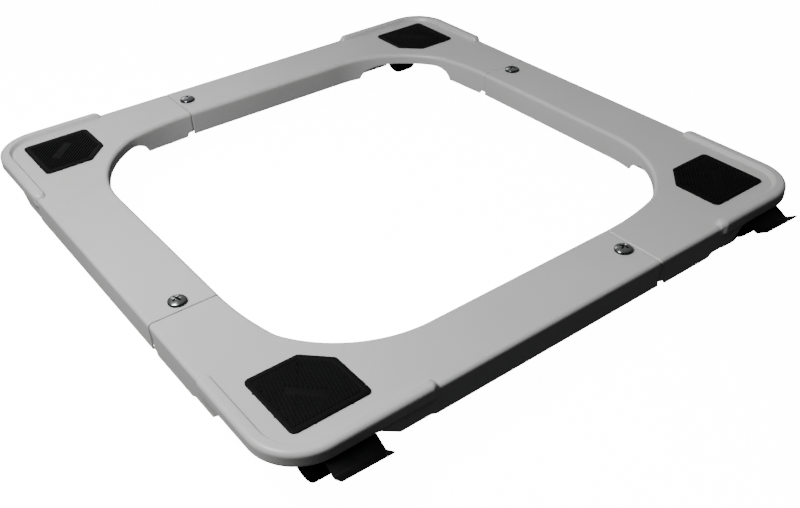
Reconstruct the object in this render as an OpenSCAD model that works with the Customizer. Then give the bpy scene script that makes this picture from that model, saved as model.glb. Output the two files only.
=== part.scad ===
// Wheeled, adjustable base for a washing machine. Four pressed steel corner brackets slide into each other:
// each one's cover arm lies over the next bracket's tongue arm and is clamped to it by a screw in a slot.
// A ribbed rubber pad lies on each corner, and a castor is riveted under it. The two front castors have
// twin wheels and a brake pedal, the two back ones a single wheel. The origin is the centre of the frame on
// the floor, and -Y is the front.

/* [Base] */
// Overall width over the rims with the arms pushed right in
base_w = 600; // [560:5:660]
// Overall depth over the rims with the arms pushed right in
base_d = 600; // [560:5:660]
// How far each arm can be pulled out
travel = 100; // [60:5:110]
// Height of the brackets' underside above the floor
castor_h = 55.5; // [54:0.5:62]
// Thickness of the pressed sheet
sheet = 1.5; // [1.2:0.1:1.8]

/* [Arms] */
// Width of an arm over its two walls
arm_w = 66; // [60:0.5:68]
// Length of the cover arm from the rim's outer corner
cover_len = 390.5; // [370:0.5:410]
// Depth of the cover arm's walls
cover_wall_h = 27; // [24:0.5:30]
// Depth of the tongue arm's walls
tongue_wall_h = 28; // [25:0.5:31]
// Depth of the walls of the part that slides inside the cover arm
slide_wall_h = 23.5; // [18:0.5:24]
// From the next bracket's outer corner to the tongue's tip, with the arms pushed in
tip_stop = 112; // [110:1:140]
// Gap between the sheets of two arms
slide_gap = 0.2; // [0.15:0.05:0.4]
// Gap at the seam between the cover arm's end and the shoulder
seam_gap = 0.9; // [0.5:0.1:2]
// Length of the step down from the full section to the sliding section
joggle = 1.6; // [1.2:0.1:3]
// From the shoulder back to where the walls reach their full depth
notch_len = 8; // [6:0.5:12]
// Outer radius of the bends
bend_r = 4; // [3.2:0.1:5]

/* [Corner] */
// Outer radius of the corner over the rim
corner_r = 45; // [36:1:52]
// Radius of the curved inner edge
throat_r = 120; // [112:1:126]
// How far that curve bites past the line of the arm
throat_bite = 3.3; // [2:0.1:4.5]
// Radius of the wide curve that flares the tongue arm toward the corner
flare_r = 282; // [260:2:310]
// Radius that blends the flare into the curved inner edge
blend_r = 40; // [30:1:50]

/* [Rim] */
// How far the rim stands out of the arm's face
rim_out = 2.5; // [2:0.5:5]
// Height of the rim over the plate
rim_h = 4.5; // [3.5:0.5:5.5]
// Rim length from the outer corner along the cover arm
rim_cover = 141; // [136:1:150]
// Rim length from the outer corner along the tongue arm
rim_tongue = 125; // [115:1:132]
// Place of the crest's inner rounding, from the rim's outer face
crest_w = 8; // [7:0.5:9.5]
// Radius of that rounding
crest_r = 3; // [2.2:0.1:3.4]
// How deep the rim's outer face goes below the plate
rim_low = 8; // [6:0.5:8.5]

/* [Lower edges] */
// Depth of the wall that is left round the outer corner
relief_h = 9; // [9:0.5:9.5]
// Where the relief ends on the cover side, from the rim's outer corner
relief_cover = 81.5; // [81:0.5:84]
// Where the relief ends on the tongue side
relief_tongue = 87.5; // [87:0.5:90]
// Where both chamfers reach the rim wall's depth
relief_foot = 104; // [100:1:110]
// How much shallower the walls are below the rim
rim_lift = 2.5; // [1.5:0.5:3.5]
// Where the lower edge steps down past the rim, from the outer corner
rim_drop = 133; // [128:1:140]
// Length of that step's slope, from the rim wall's depth to the arm wall's depth
rim_slope = 6; // [4:1:9]
// Depth of the inside wall round the curved edge
throat_wall_h = 12; // [9:0.5:15]
// Where that wall starts to sweep down on the cover side
sweep_cover = 118; // [114:1:126]
// Where it reaches the cover arm's depth
foot_cover = 157; // [150:1:165]
// Where that wall starts to sweep down on the tongue side
sweep_tongue = 125; // [122:1:132]
// Where it reaches the tongue arm's wall
foot_tongue = 149; // [144:1:154]
// How much shallower the tongue arm's wall still is there
foot_lift = 2; // [0.5:0.5:3]

/* [Clamp screws] */
// Thread diameter
screw_d = 8; // [6:0.5:8]
// Head diameter
screw_head_d = 17; // [15:0.5:18]
// Head height
screw_head_h = 4.4; // [3.5:0.1:5]
// Screw centre back from the cover arm's end
screw_in = 11.3; // [11:0.1:14]
// Clearance round the screw in the hole and slot
screw_clear = 0.35; // [0.3:0.05:0.6]
// Washer outside diameter
washer_d = 20; // [18:0.5:22]
// Washer thickness
washer_t = 1.6; // [1.2:0.1:2]
// Nut width across its flats
nut_w = 13; // [12:0.5:14]
// Nut height
nut_h = 6.5; // [5:0.5:7]

/* [Pads] */
// Side of the pad
pad_w = 71; // [66:0.5:71]
// From the rim's outer face to the pad
pad_in = 28; // [26:0.5:30]
// Chamfer across the pad's inner corner
pad_chamfer = 22; // [16:1:26]
// Corner radius of the pad
pad_r = 5; // [3:0.5:7]
// Thickness up to the smooth border
pad_t = 1.6; // [1.2:0.1:2.5]
// Height of the ribs over the border
rib_h = 0.5; // [0.3:0.1:0.8]
// Distance from rib to rib
rib_pitch = 3; // [2.5:0.1:4]
// Width of a rib
rib_w = 1.5; // [1.2:0.1:1.8]
// Width of the smooth border
pad_border = 5; // [3:0.5:7]
// Length of the bare bar across the ribs
bar_l = 31; // [24:1:34]
// Width of the bare bar
bar_w = 6; // [4:0.5:9]
// Bar's shift from the pad's centre toward the outer corner
bar_shift = 6; // [3:0.5:9]

/* [Castors] */
// Swivel axis from the rim's outer faces
pivot_in = 61; // [60:0.5:62]
// Wheel diameter
wheel_d = 40; // [36:0.5:40]
// Width of one front wheel
wheel_w = 15.5; // [13:0.5:16]
// Gap between the two front wheels
wheel_gap = 15; // [14.4:0.2:16]
// Front wheels' axle from the swivel axis
trail = 24.5; // [22:0.5:26]
// Back wheel's axle from the swivel axis
back_trail = 32; // [29:0.5:34]
// Width of a back wheel
back_wheel_w = 22; // [18:0.5:23]
// Rounding of a back wheel's tread
back_round = 5; // [2:0.5:7]
// Back fork's legs behind the swivel axis
leg_rear = 9; // [8:0.5:10]
// Back fork's legs ahead of the swivel axis, just under the fork's head
leg_nose = 11; // [10:0.5:13]
// Side of the top plate
plate_w = 60; // [56:1:64]
// Thickness of the top plate
plate_t = 2; // [1.5:0.1:2.5]
// Rivets' distance from the swivel axis, along each side
rivet_off = 23; // [21:0.5:24]
// Rivet shank diameter
rivet_d = 5; // [4:0.5:6]
// Ball diameter
ball_d = 4; // [3.5:0.1:4.5]
// Number of balls
ball_n = 12; // [8:1:14]
// Radius of the ring of balls
ball_ring = 12.8; // [12.4:0.1:13.5]
// Play over and under each ball
ball_play = 0.25; // [0.1:0.05:0.4]
// Thickness of the fork's metal
fork_t = 2; // [1.5:0.1:2.2]
// Radius of the fork's round head
fork_r = 19; // [18:0.5:20]
// Gap between the fork's two legs
leg_gap = 7; // [6.6:0.2:7.6]
// Kingpin diameter
kingpin_d = 8; // [7:0.5:9]
// Wheel axle diameter
axle_d = 6; // [5:0.5:7]
// Running clearance of pins and axles, on the radius
run_clear = 0.06; // [0.03:0.01:0.1]

/* [Brake pedals] */
// Width of the foot plate
pedal_w = 44.6; // [40:0.2:46]
// Width of the arm that goes in under the bracket
pedal_arm_w = 27; // [24:0.5:30]
// Thickness of the pedal's metal
pedal_t = 1.5; // [1.2:0.1:1.8]
// Foot plate's inner edge from the swivel axis
foot_in = 59; // [58.5:0.1:60]
// Bend of the foot plate from the swivel axis
foot_bend = 71; // [69:0.5:73]
// Tip of the upturned lip from the swivel axis
foot_tip = 81.3; // [78:0.1:84]
// Gap between the bracket's relieved edge and the foot plate
foot_gap = 0.6; // [0.5:0.1:1]
// How far the ears run along under the pedal's arm
ear_run = 14; // [10:1:18]
// Drop of the foot plate from its inner edge to the bend
foot_drop = 6.6; // [5:0.2:8]
// Rise of the lip
lip_rise = 6.8; // [5:0.2:6.8]
// Pedal pin from the swivel axis
pin_fwd = 15; // [14.5:0.1:15.5]
// Pedal pin below the fork's head
pin_drop = 4; // [4:0.1:4.6]
// Pedal pin diameter
pin_d = 3.2; // [2.6:0.1:3.4]
// How far the pedal turns when it is pressed, in degrees
press = 8; // [6:0.5:8]
// Gap left between the brake shoe and the tread when pressed
shoe_gap = 0.3; // [0.2:0.05:0.6]
// Spring's outside diameter
spring_d = 5.8; // [5:0.1:6]
// Spring wire diameter
spring_wire = 0.8; // [0.6:0.1:0.9]
// Turns of the spring
spring_turns = 5; // [4:0.5:6]

/* [Colours] */
// Painted steel
paint = "gainsboro";
// Rubber, wheels and painted black metal
black = "dimgray";
// Zinc plated fasteners
zinc = "silver";

/* [Hidden] */
$fn = 48;
CORNERS = ["front_left", "front_right", "back_right", "back_left"];
FRONT = [0, 1];
BACK = [2, 3];
SIDES = [0:3];
SIGN = [[-1, -1], [1, -1], [1, 1], [-1, 1]];
// Turn of each castor at rest, and the direction of each pad's ribs, in degrees
swivel_rest = [-1.7, -1.7, 180, 180];
rib_turn = [76, 46, 76, 46];

// Levels above the floor
top_z = castor_h + sheet;
race_z = castor_h - plate_t;
head_top = race_z - ball_d - 2 * ball_play;
head_under = head_top - fork_t;
wheel_r = wheel_d / 2;

// The arm's inside face, and the step in to the sliding section
arm_in = rim_out + arm_w;
slide_in = sheet + slide_gap;
relief_wall_h = cover_wall_h - rim_lift;
screw_r = screw_d / 2;
slot_r = screw_r + screw_clear;
screw_mid = rim_out + arm_w / 2;
far = 60;

// Centre of the curved inner edge's main arc
throat_c = [arm_in + throat_r - throat_bite, arm_in + throat_r];

// Overall size along the tongue arm of corner i, and places that follow from it
function tongue_span(i) = i % 2 == 0 ? base_d : base_w;
function shoulder(i) = tongue_span(i) - cover_len - seam_gap;
function slot_start(i) = tongue_span(i) - cover_len + screw_in;
function tongue_tip(i) = tongue_span(i) - tip_stop;

// The flare's arc starts square to the shoulder. The blending arc touches it and the main arc from inside,
// so its centre is where two circles about their centres meet
function flare_c(i) = [arm_in + flare_r, shoulder(i)];
function blend_c(i) =
    let (
        from = flare_c(i),
        to = throat_c - from,
        far_r = flare_r - blend_r,
        near_r = throat_r - blend_r,
        along = (to * to + far_r * far_r - near_r * near_r) / (2 * norm(to)),
        across = sqrt(far_r * far_r - along * along),
        dir = to / norm(to)
    )
    from + along * dir + across * [-dir[1], dir[0]];
function bearing(from, to) = (atan2(to[1] - from[1], to[0] - from[0]) + 360) % 360;
function flare_a(i) = bearing(flare_c(i), blend_c(i));
function blend_a(i) = bearing(throat_c, blend_c(i));

// Puts a bracket's own frame, with its origin at the rim's outer corner, into the base
module at_corner(i) {
    translate([SIGN[i][0] * base_w / 2, SIGN[i][1] * base_d / 2, 0])
        rotate(90 * i)
            children();
}

// Puts a castor's frame, with the wheels toward -Y, under corner i
module at_castor(i) {
    at_corner(i)
        translate([pivot_in, pivot_in, 0])
            rotate(swivel_rest[i] - 90 * i)
                children();
}

// Carries a profile along a straight line of length len from p, with its x to the left of heading a
module run(p, a, len) {
    translate([p[0], p[1], 0])
        rotate([0, 0, a])
            rotate([90, 0, 90])
                linear_extrude(len)
                    children();
}

// Carries a profile round an arc of radius r about c. Its x points out of the arc, or in with side = -1
module turn(c, r, a0, a1, side) {
    translate([c[0], c[1], 0])
        rotate([0, 0, a0])
            rotate_extrude(angle = a1 - a0, $fn = 96)
                translate([r, 0])
                    scale([side, 1])
                        children();
}

// Extrudes an outline in x and z across from y0 to y1
module across_y(y0, y1) {
    translate([0, y1, 0])
        rotate([90, 0, 0])
            linear_extrude(y1 - y0)
                children();
}

// Extrudes an outline in y and z across from x0 to x1
module across_x(x0, x1) {
    translate([x0, 0, 0])
        rotate([90, 0, 90])
            linear_extrude(x1 - x0)
                children();
}

// A slice of a disc between two bearings
module sector(c, r, a0, a1) {
    reach = 2 * r;
    intersection() {
        translate(c)
            circle(r, $fn = 96);
        polygon([
            c,
            c + reach * [cos(a0), sin(a0)],
            c + reach * [cos((a0 + a1) / 2), sin((a0 + a1) / 2)],
            c + reach * [cos(a1), sin(a1)]
        ]);
    }
}

// Covers the seam that two sectors share from p outward, to 1 mm from the arc, so that no hair is left there
module seam_cover(c, r, p, a) {
    start = norm(p - c) - 5;
    half = 120 / r;
    polygon([
        c + start * [cos(a), sin(a)],
        c + (r - 1) * [cos(a - half), sin(a - half)],
        c + (r - 1) * [cos(a + half), sin(a + half)]
    ]);
}

// The opening inside the base as corner i sees it, grown by e
module opening(i, e) {
    reach = cover_len + far;
    polygon([
        throat_c,
        [throat_c[0], arm_in - e],
        [reach, arm_in - e],
        [reach, shoulder(i) + far],
        [arm_in - e, shoulder(i) + far],
        [arm_in - e, shoulder(i)],
        flare_c(i),
        blend_c(i)
    ]);
    sector(flare_c(i), flare_r + e, 180, flare_a(i));
    sector(blend_c(i), blend_r + e, flare_a(i), blend_a(i));
    sector(throat_c, throat_r + e, blend_a(i), 270);
    seam_cover(flare_c(i), flare_r + e, blend_c(i), flare_a(i));
    seam_cover(throat_c, throat_r + e, blend_c(i), blend_a(i));
}

// The plan of the bracket's full section, drawn in by e
module plan(i, e) {
    low = rim_out + e;
    difference() {
        union() {
            translate([corner_r, low])
                square([cover_len - corner_r, shoulder(i) - low]);
            translate([low, corner_r])
                square([corner_r - low, shoulder(i) - corner_r]);
            translate([corner_r, corner_r])
                circle(corner_r - low);
        }
        opening(i, e);
    }
}

// Profile of a bend between plate and wall
module bend_profile() {
    intersection() {
        translate([bend_r, -bend_r])
            difference() {
                circle(bend_r);
                circle(bend_r - sheet);
            }
        translate([0, -bend_r])
            square(bend_r);
    }
}

// Solid profile under the rim's skin, drawn in by e. x is the distance from the rim's outer face
module rim_profile(e) {
    diag = e * (sqrt(2) - 1);
    rise_x = crest_w + (crest_r - e) / sqrt(2);
    rise_z = rim_h - crest_r + (crest_r - e) / sqrt(2);
    foot_x = rise_x + rise_z + e;
    inner_x = foot_x + (e > 0 ? far / 4 : 0);
    bottom = -rim_low - rim_out;
    polygon([
        [e, 0],
        [rim_h, 0],
        [rim_h, rim_h - e],
        [crest_w, rim_h - e],
        [crest_w, rise_z],
        [rise_x, rise_z],
        [foot_x, -e],
        [inner_x, -e],
        [inner_x, bottom - e],
        [rim_out + e, bottom - e],
        [rim_out + e, bottom + diag],
        [e, diag - rim_low]
    ]);
    translate([rim_h, 0])
        circle(rim_h - e);
    translate([crest_w, rim_h - crest_r])
        circle(crest_r - e);
}

// One straight length of rim with a sloped end at len, drawn in by e
module rim_side(len, e) {
    slope = e * sqrt(2);
    // a hollow runs on a little, so that no web is left across the channel
    past = len + e;
    difference() {
        run([corner_r, 0], 0, past - corner_r)
            rim_profile(e);
        across_y(-1, far)
            polygon([
                [len - rim_h - slope - 1, rim_h + 1],
                [len - slope + e, -e],
                [past + 1, -e],
                [past + 1, rim_h + 1]
            ]);
        translate([0, 0, -far])
            linear_extrude(2 * far)
                polygon([
                    [len - rim_out - slope - 1, -1],
                    [len - slope, rim_out],
                    [past + 1, rim_out],
                    [past + 1, -1]
                ]);
    }
}

// The rim round the outer corner, drawn in by e
module rim(e) {
    rim_side(rim_cover, e);
    mirror([1, -1, 0])
        rim_side(rim_tongue, e);
    turn([corner_r, corner_r], corner_r, 180, 270, -1)
        rim_profile(e);
}

// Points of a quarter ellipse that sets out level from [x0, -h0] and falls upright to [x1, -h1]
function sweep(x0, h0, x1, h1) = [
    for (a = [0:15:90])
        [x0 + (x1 - x0) * sin(a), -h0 - (h1 - h0) * (1 - cos(a))]
];

// What is cut away below the walls' lower edges
module wall_reliefs(i) {
    deep = -far;
    rim_edge = -relief_wall_h;
    // cover side, outside wall
    across_y(-1, arm_in / 2)
        polygon([
            [-1, deep], [-1, -relief_h], [relief_cover, -relief_h], [relief_foot, rim_edge],
            [rim_drop, rim_edge], [rim_drop + rim_slope, -cover_wall_h],
            [cover_len + 1, -cover_wall_h], [cover_len + 1, deep]
        ]);
    // tongue side, outside wall
    across_x(-1, arm_in / 2)
        polygon([
            [-1, deep], [-1, -relief_h], [relief_tongue, -relief_h], [relief_foot, rim_edge],
            [rim_drop, rim_edge], [rim_drop + rim_slope, -tongue_wall_h],
            [shoulder(i) - notch_len, -tongue_wall_h], [shoulder(i) - notch_len + 1, -slide_wall_h],
            [shoulder(i) + 1, -slide_wall_h], [shoulder(i) + 1, deep]
        ]);
    // inside wall round the curved edge and along the cover arm
    across_y(arm_in / 2, sweep_tongue)
        polygon(concat(
            [[arm_in / 2, deep], [arm_in / 2, -throat_wall_h]],
            sweep(sweep_cover, throat_wall_h, foot_cover, cover_wall_h),
            [[cover_len + 1, -cover_wall_h], [cover_len + 1, deep]]
        ));
    // inside wall along the tongue arm
    across_x(arm_in / 2, sweep_cover)
        polygon(concat(
            [[sweep_tongue - 1, deep], [sweep_tongue - 1, -throat_wall_h]],
            sweep(sweep_tongue, throat_wall_h, foot_tongue, tongue_wall_h - foot_lift),
            [
                [(foot_tongue + shoulder(i)) / 2, -tongue_wall_h],
                [shoulder(i) - notch_len, -tongue_wall_h], [shoulder(i) - notch_len + 1, -slide_wall_h],
                [shoulder(i) + 1, -slide_wall_h], [shoulder(i) + 1, deep]
            ]
        ));
}

// Holes for the clamp screw, the kingpin's head and the rivets
module bracket_holes() {
    translate([cover_len - screw_in, screw_mid, -far])
        cylinder(h = 2 * far, r = slot_r);
    translate([pivot_in, pivot_in, -far]) {
        cylinder(h = 2 * far, r = kingpin_d + 1);
        at_rivets()
            cylinder(h = 2 * far, r = rivet_d / 2 + run_clear);
    }
}

// The four rivets of a castor plate
module at_rivets() {
    for (s = SIGN)
        translate([s[0] * rivet_off, s[1] * rivet_off, 0])
            children();
}

// A channel section open at the bottom, o in from the arm's faces, with walls down to h
module channel_profile(o, h) {
    r = max(bend_r - o, 0.2);
    translate([o, -h])
        square([arm_w - 2 * o, h - o - r]);
    translate([o + r, -o - r])
        square([arm_w - 2 * (o + r), r]);
    for (x = [o + r, arm_w - o - r])
        translate([x, -o - r])
            circle(r);
}

// The skin between two such sections
module channel_skin(o, inner, h) {
    difference() {
        channel_profile(o, h);
        channel_profile(inner, h + 1);
    }
}

// The part of the tongue arm that slides inside the next cover arm
module tongue_slide(i) {
    start = shoulder(i) - joggle;
    difference() {
        translate([rim_out, tongue_tip(i), 0])
            rotate([90, 0, 0])
                linear_extrude(tongue_tip(i) - start)
                    channel_skin(slide_in, slide_in + sheet, slide_wall_h);
        // slot that the clamp screw slides in
        translate([screw_mid, slot_start(i), -far])
            linear_extrude(2 * far) {
                circle(slot_r);
                translate([-slot_r, 0])
                    square([2 * slot_r, travel]);
                translate([0, travel])
                    circle(slot_r);
            }
    }
    // the step down
    translate([rim_out, shoulder(i), 0])
        rotate([90, 0, 0])
            linear_extrude(joggle)
                channel_skin(0, slide_in + sheet, slide_wall_h);
}

module corner_frame(i) {
    color(paint)
        at_corner(i)
            translate([0, 0, top_z]) {
                difference() {
                    union() {
                        translate([0, 0, -sheet])
                            linear_extrude(sheet)
                                plan(i, bend_r);
                        translate([0, 0, -tongue_wall_h])
                            linear_extrude(tongue_wall_h - bend_r)
                                difference() {
                                    plan(i, 0);
                                    plan(i, sheet);
                                }
                        run([corner_r, rim_out], 0, cover_len - corner_r)
                            bend_profile();
                        turn([corner_r, corner_r], corner_r - rim_out, 180, 270, -1)
                            bend_profile();
                        run([rim_out, shoulder(i)], -90, shoulder(i) - corner_r)
                            bend_profile();
                        run([cover_len, arm_in], 180, cover_len - throat_c[0])
                            bend_profile();
                        turn(throat_c, throat_r, blend_a(i), 270, 1)
                            bend_profile();
                        turn(blend_c(i), blend_r, flare_a(i), blend_a(i), 1)
                            bend_profile();
                        turn(flare_c(i), flare_r, 180, flare_a(i), 1)
                            bend_profile();
                        rim(0);
                    }
                    rim(sheet);
                    wall_reliefs(i);
                    bracket_holes();
                }
                tongue_slide(i);
            }
}

// Outline of the pad drawn in by e, with round corners
module pad_outline(e) {
    w = pad_w - 2 * e;
    r = max(pad_r - e, 0.6);
    c = pad_chamfer - e * (2 - sqrt(2));
    // a chamfered corner's arc centres lie this far along the sides
    k = r * (sqrt(2) - 1);
    spots = [[r, r], [w - r, r], [w - r, w - c - k], [w - c - k, w - r], [r, w - r]];
    translate([pad_in + e, pad_in + e]) {
        polygon(spots);
        for (s = spots)
            translate(s)
                circle(r);
        for (n = [0:4]) {
            p = spots[n];
            q = spots[(n + 1) % 5];
            d = (q - p) / norm(q - p);
            out = r * [d[1], -d[0]];
            polygon([p, p + out, q + out, q]);
        }
    }
}

module corner_pad(i) {
    mid = pad_in + pad_w / 2;
    ribs = floor(pad_w / rib_pitch / sqrt(2)) + 1;
    color(black)
        at_corner(i)
            translate([0, 0, top_z]) {
                linear_extrude(pad_t)
                    pad_outline(0);
                // ribs inside the border, left out under the bare bar
                translate([0, 0, pad_t / 2])
                    linear_extrude(pad_t / 2 + rib_h)
                        difference() {
                            intersection() {
                                pad_outline(pad_border);
                                translate([mid, mid])
                                    rotate(rib_turn[i] - 90 * i)
                                        for (n = [-ribs:ribs])
                                            translate([-pad_w, n * rib_pitch - rib_w / 2])
                                                square([2 * pad_w, rib_w]);
                            }
                            bar_plan(mid, rib_w);
                        }
                translate([0, 0, pad_t / 2])
                    linear_extrude(pad_t / 2 + rib_h)
                        bar_plan(mid, 0);
            }
}

// The bare bar, parallel to the chamfer, grown by e
module bar_plan(mid, e) {
    translate([mid - bar_shift / sqrt(2), mid - bar_shift / sqrt(2)])
        rotate(-45)
            square([bar_l + 2 * e, bar_w + 2 * e], center = true);
}

// Puts the clamp screw's axis of corner i's cover arm on z, with z = 0 at the plate's top
module at_screw(i) {
    at_corner(i)
        translate([cover_len - screw_in, screw_mid, top_z])
            children();
}

// Stack under the cover plate: both sheets, the washer, the nut
washer_top = -sheet - slide_in - slide_gap;
nut_top = washer_top - washer_t;
screw_end = nut_top - nut_h - 2;

module clamp_screw(i) {
    dome_r = (pow(screw_head_d / 2, 2) + pow(screw_head_h / 2, 2)) / screw_head_h;
    color(zinc)
        at_screw(i)
            difference() {
                union() {
                    // domed pan head
                    cylinder(h = screw_head_h / 2, r = screw_head_d / 2);
                    intersection() {
                        translate([0, 0, screw_head_h - dome_r])
                            sphere(dome_r);
                        cylinder(h = screw_head_h, r = screw_head_d / 2);
                    }
                    translate([0, 0, screw_end])
                        cylinder(h = -screw_end + 1, r = screw_r - run_clear);
                }
                // cross recess
                for (a = [45, 135])
                    rotate(a)
                        translate([-screw_head_d / 4, -screw_head_d / 16, screw_head_h - 2.4])
                            cube([screw_head_d / 2, screw_head_d / 8, screw_head_h]);
            }
}

module clamp_washer(i) {
    color(zinc)
        at_screw(i)
            translate([0, 0, nut_top])
                difference() {
                    cylinder(h = washer_t, r = washer_d / 2);
                    translate([0, 0, -1])
                        cylinder(h = washer_t + 2, r = slot_r);
                }
}

module clamp_nut(i) {
    color(zinc)
        at_screw(i)
            translate([0, 0, nut_top - nut_h])
                difference() {
                    cylinder(h = nut_h, r = nut_w / sqrt(3), $fn = 6);
                    translate([0, 0, -1])
                        cylinder(h = nut_h + 2, r = screw_r);
                }
}

module castor_plate(i) {
    color(black)
        at_corner(i)
            translate([pivot_in, pivot_in, race_z])
                difference() {
                    translate([-plate_w / 2, -plate_w / 2, 0])
                        cube([plate_w, plate_w, plate_t]);
                    translate([0, 0, -1])
                        cylinder(h = plate_t + 2, r = kingpin_d / 2 + run_clear);
                    at_rivets()
                        translate([0, 0, -1])
                            cylinder(h = plate_t + 2, r = rivet_d / 2 + run_clear);
                }
}

// Flush head in the bracket's sheet, shank through both plates, low dome underneath
module plate_rivets(i) {
    shank = sheet + plate_t;
    color(zinc)
        at_corner(i)
            translate([pivot_in, pivot_in, top_z])
                at_rivets() {
                    translate([0, 0, -shank])
                        cylinder(h = shank, r = rivet_d / 2);
                    translate([0, 0, -shank - rivet_d * 0.3])
                        cylinder(h = rivet_d * 0.3, r1 = rivet_d * 0.5, r2 = rivet_d * 0.85);
                }
}

// Head on the top plate, shank through plate and fork, spread tail under the fork's head
module kingpin(i) {
    head_h = sheet - slide_gap;
    tail_h = 1.8;
    color(zinc)
        at_corner(i)
            translate([pivot_in, pivot_in, 0]) {
                translate([0, 0, castor_h])
                    cylinder(h = head_h, r = kingpin_d - 0.5);
                translate([0, 0, head_under - run_clear - tail_h])
                    cylinder(h = castor_h - head_under + run_clear + tail_h, r = kingpin_d / 2);
                translate([0, 0, head_under - run_clear - tail_h])
                    cylinder(h = tail_h, r = kingpin_d * 0.75);
            }
}

module bearing_balls(i) {
    color(zinc)
        at_castor(i)
            for (n = [0:ball_n - 1])
                rotate(360 * n / ball_n)
                    translate([ball_ring, 0, head_top + ball_play + ball_d / 2])
                        sphere(ball_d / 2);
}

// Side view of a fork leg, with x as the distance ahead of the swivel axis and y as height
module leg_outline() {
    rear = kingpin_d * 0.75 + 2.5;
    nose = pin_fwd + 3;
    translate([trail, wheel_r])
        circle(axle_d);
    polygon([
        [rear, head_under + 0.5], [nose, head_under + 0.5],
        [nose + 2.5, head_under - 4.5], [trail + 3.5, head_under - 7],
        [trail + axle_d, wheel_r], [trail - axle_d, wheel_r], [rear + 0.5, head_under - 7]
    ]);
}

// Extrudes a side view of the castor from x0 to x1, with its x pointing ahead (-Y)
module castor_side(x0, x1) {
    translate([x0, 0, 0])
        rotate([90, 0, 90])
            linear_extrude(x1 - x0)
                mirror([1, 0])
                    children();
}

// Round head with a lip that keeps the balls in
module fork_head() {
    lip_h = race_z - head_top - 0.7;
    translate([0, 0, head_under]) {
        cylinder(h = fork_t, r = fork_r);
        difference() {
            cylinder(h = fork_t + lip_h, r = fork_r);
            translate([0, 0, -1])
                cylinder(h = fork_t + lip_h + 2, r = fork_r - 2);
        }
    }
}

// Front fork, with both legs between the wheels
module castor_fork(i) {
    leg_in = leg_gap / 2;
    leg_out = leg_in + fork_t;
    shelf_z = spring_z - fork_t;
    color(black)
        at_castor(i)
            difference() {
                union() {
                    fork_head();
                    for (s = [0, 1])
                        mirror([s, 0, 0])
                            castor_side(leg_in, leg_out)
                                leg_outline();
                    // shelf between the legs
                    castor_side(-leg_in - 0.5, leg_in + 0.5)
                        translate([spring_fwd - spring_d / 2 - 2, shelf_z])
                            square([spring_d + 3, fork_t]);
                }
                translate([0, 0, head_under - 1])
                    cylinder(h = fork_t + 2, r = kingpin_d / 2 + run_clear);
                castor_side(-leg_out - 1, leg_out + 1)
                    translate([trail, wheel_r])
                        circle(axle_d / 2 + run_clear);
                castor_side(-leg_out - 1, leg_out + 1)
                    translate([pin_fwd, pin_z])
                        circle(pin_d / 2 + run_clear);
            }
}

// Distances of the back fork's legs from its middle
back_leg_in = back_wheel_w / 2 + 1.2;
back_leg_out = back_leg_in + fork_t;

// Back fork, with a leg on each side of its single wheel
module back_fork(i) {
    color(black)
        at_castor(i)
            difference() {
                union() {
                    fork_head();
                    for (s = [0, 1])
                        mirror([s, 0, 0])
                            castor_side(back_leg_in, back_leg_out) {
                                translate([back_trail, wheel_r])
                                    circle(axle_d);
                                polygon([
                                    [-leg_rear, head_under + 0.5], [leg_nose, head_under + 0.5],
                                    [leg_nose + 1.5 * fork_t, head_under - 1.25 * fork_t],
                                    [back_trail + axle_d * 0.83, wheel_r + axle_d * 0.55],
                                    [back_trail - axle_d * 0.83, wheel_r - axle_d * 0.55],
                                    [fork_t - leg_rear, head_under - 3.5 * fork_t]
                                ]);
                            }
                }
                translate([0, 0, head_under - 1])
                    cylinder(h = fork_t + 2, r = kingpin_d / 2 + run_clear);
                castor_side(-back_leg_out - 1, back_leg_out + 1)
                    translate([back_trail, wheel_r])
                        circle(axle_d / 2 + run_clear);
            }
}

// Distance of the front wheels' faces from the castor's middle
wheel_in = wheel_gap / 2;
wheel_out = wheel_in + wheel_w;
hub_out = wheel_out - 2.8;
cap_h = 1.2;

// Axle on x, with a head at each end beyond half its length
module axle(half) {
    rotate([0, 90, 0]) {
        translate([0, 0, -half])
            cylinder(h = 2 * half, r = axle_d / 2);
        for (s = [0, 1])
            mirror([0, 0, s])
                translate([0, 0, half])
                    cylinder(h = cap_h, r1 = axle_d * 0.75, r2 = axle_d * 0.65);
    }
}

module wheel_axle(i) {
    color(zinc)
        at_castor(i)
            translate([0, i < 2 ? -trail : -back_trail, wheel_r])
                axle((i < 2 ? hub_out : back_leg_out) + run_clear);
}

// Half section of a wheel: x is the radius and y the distance along the axle from the castor's middle
module wheel_section() {
    edge = 1.6;
    bore = axle_d / 2 + run_clear;
    hub = axle_d;
    rim_r = wheel_r - 4.5;
    difference() {
        union() {
            translate([bore, leg_gap / 2 + fork_t + 0.3])
                square([hub - bore, hub_out - leg_gap / 2 - fork_t - 0.3]);
            translate([bore, wheel_in])
                square([wheel_r - edge - bore, wheel_w]);
            translate([wheel_r - edge - 1, wheel_in + edge])
                square([edge + 1, wheel_w - 2 * edge]);
            for (y = [wheel_in + edge, wheel_out - edge])
                translate([wheel_r - edge, y])
                    circle(edge);
        }
        // dished outer face, with the hub standing in it
        polygon([
            [hub, wheel_out - 4.5], [rim_r - 1.5, wheel_out - 3], [rim_r, wheel_out + 1],
            [0, wheel_out + 1], [0, hub_out], [hub, hub_out]
        ]);
        // hollow inner face
        polygon([
            [hub, wheel_in - 1], [rim_r, wheel_in - 1], [rim_r - 1, wheel_in + 4], [hub, wheel_in + 4]
        ]);
    }
}

module wheel(i, side) {
    color(black)
        at_castor(i)
            translate([0, -trail, wheel_r])
                rotate([0, 90 * side, 0])
                    rotate_extrude($fn = 72)
                        wheel_section();
}

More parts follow.
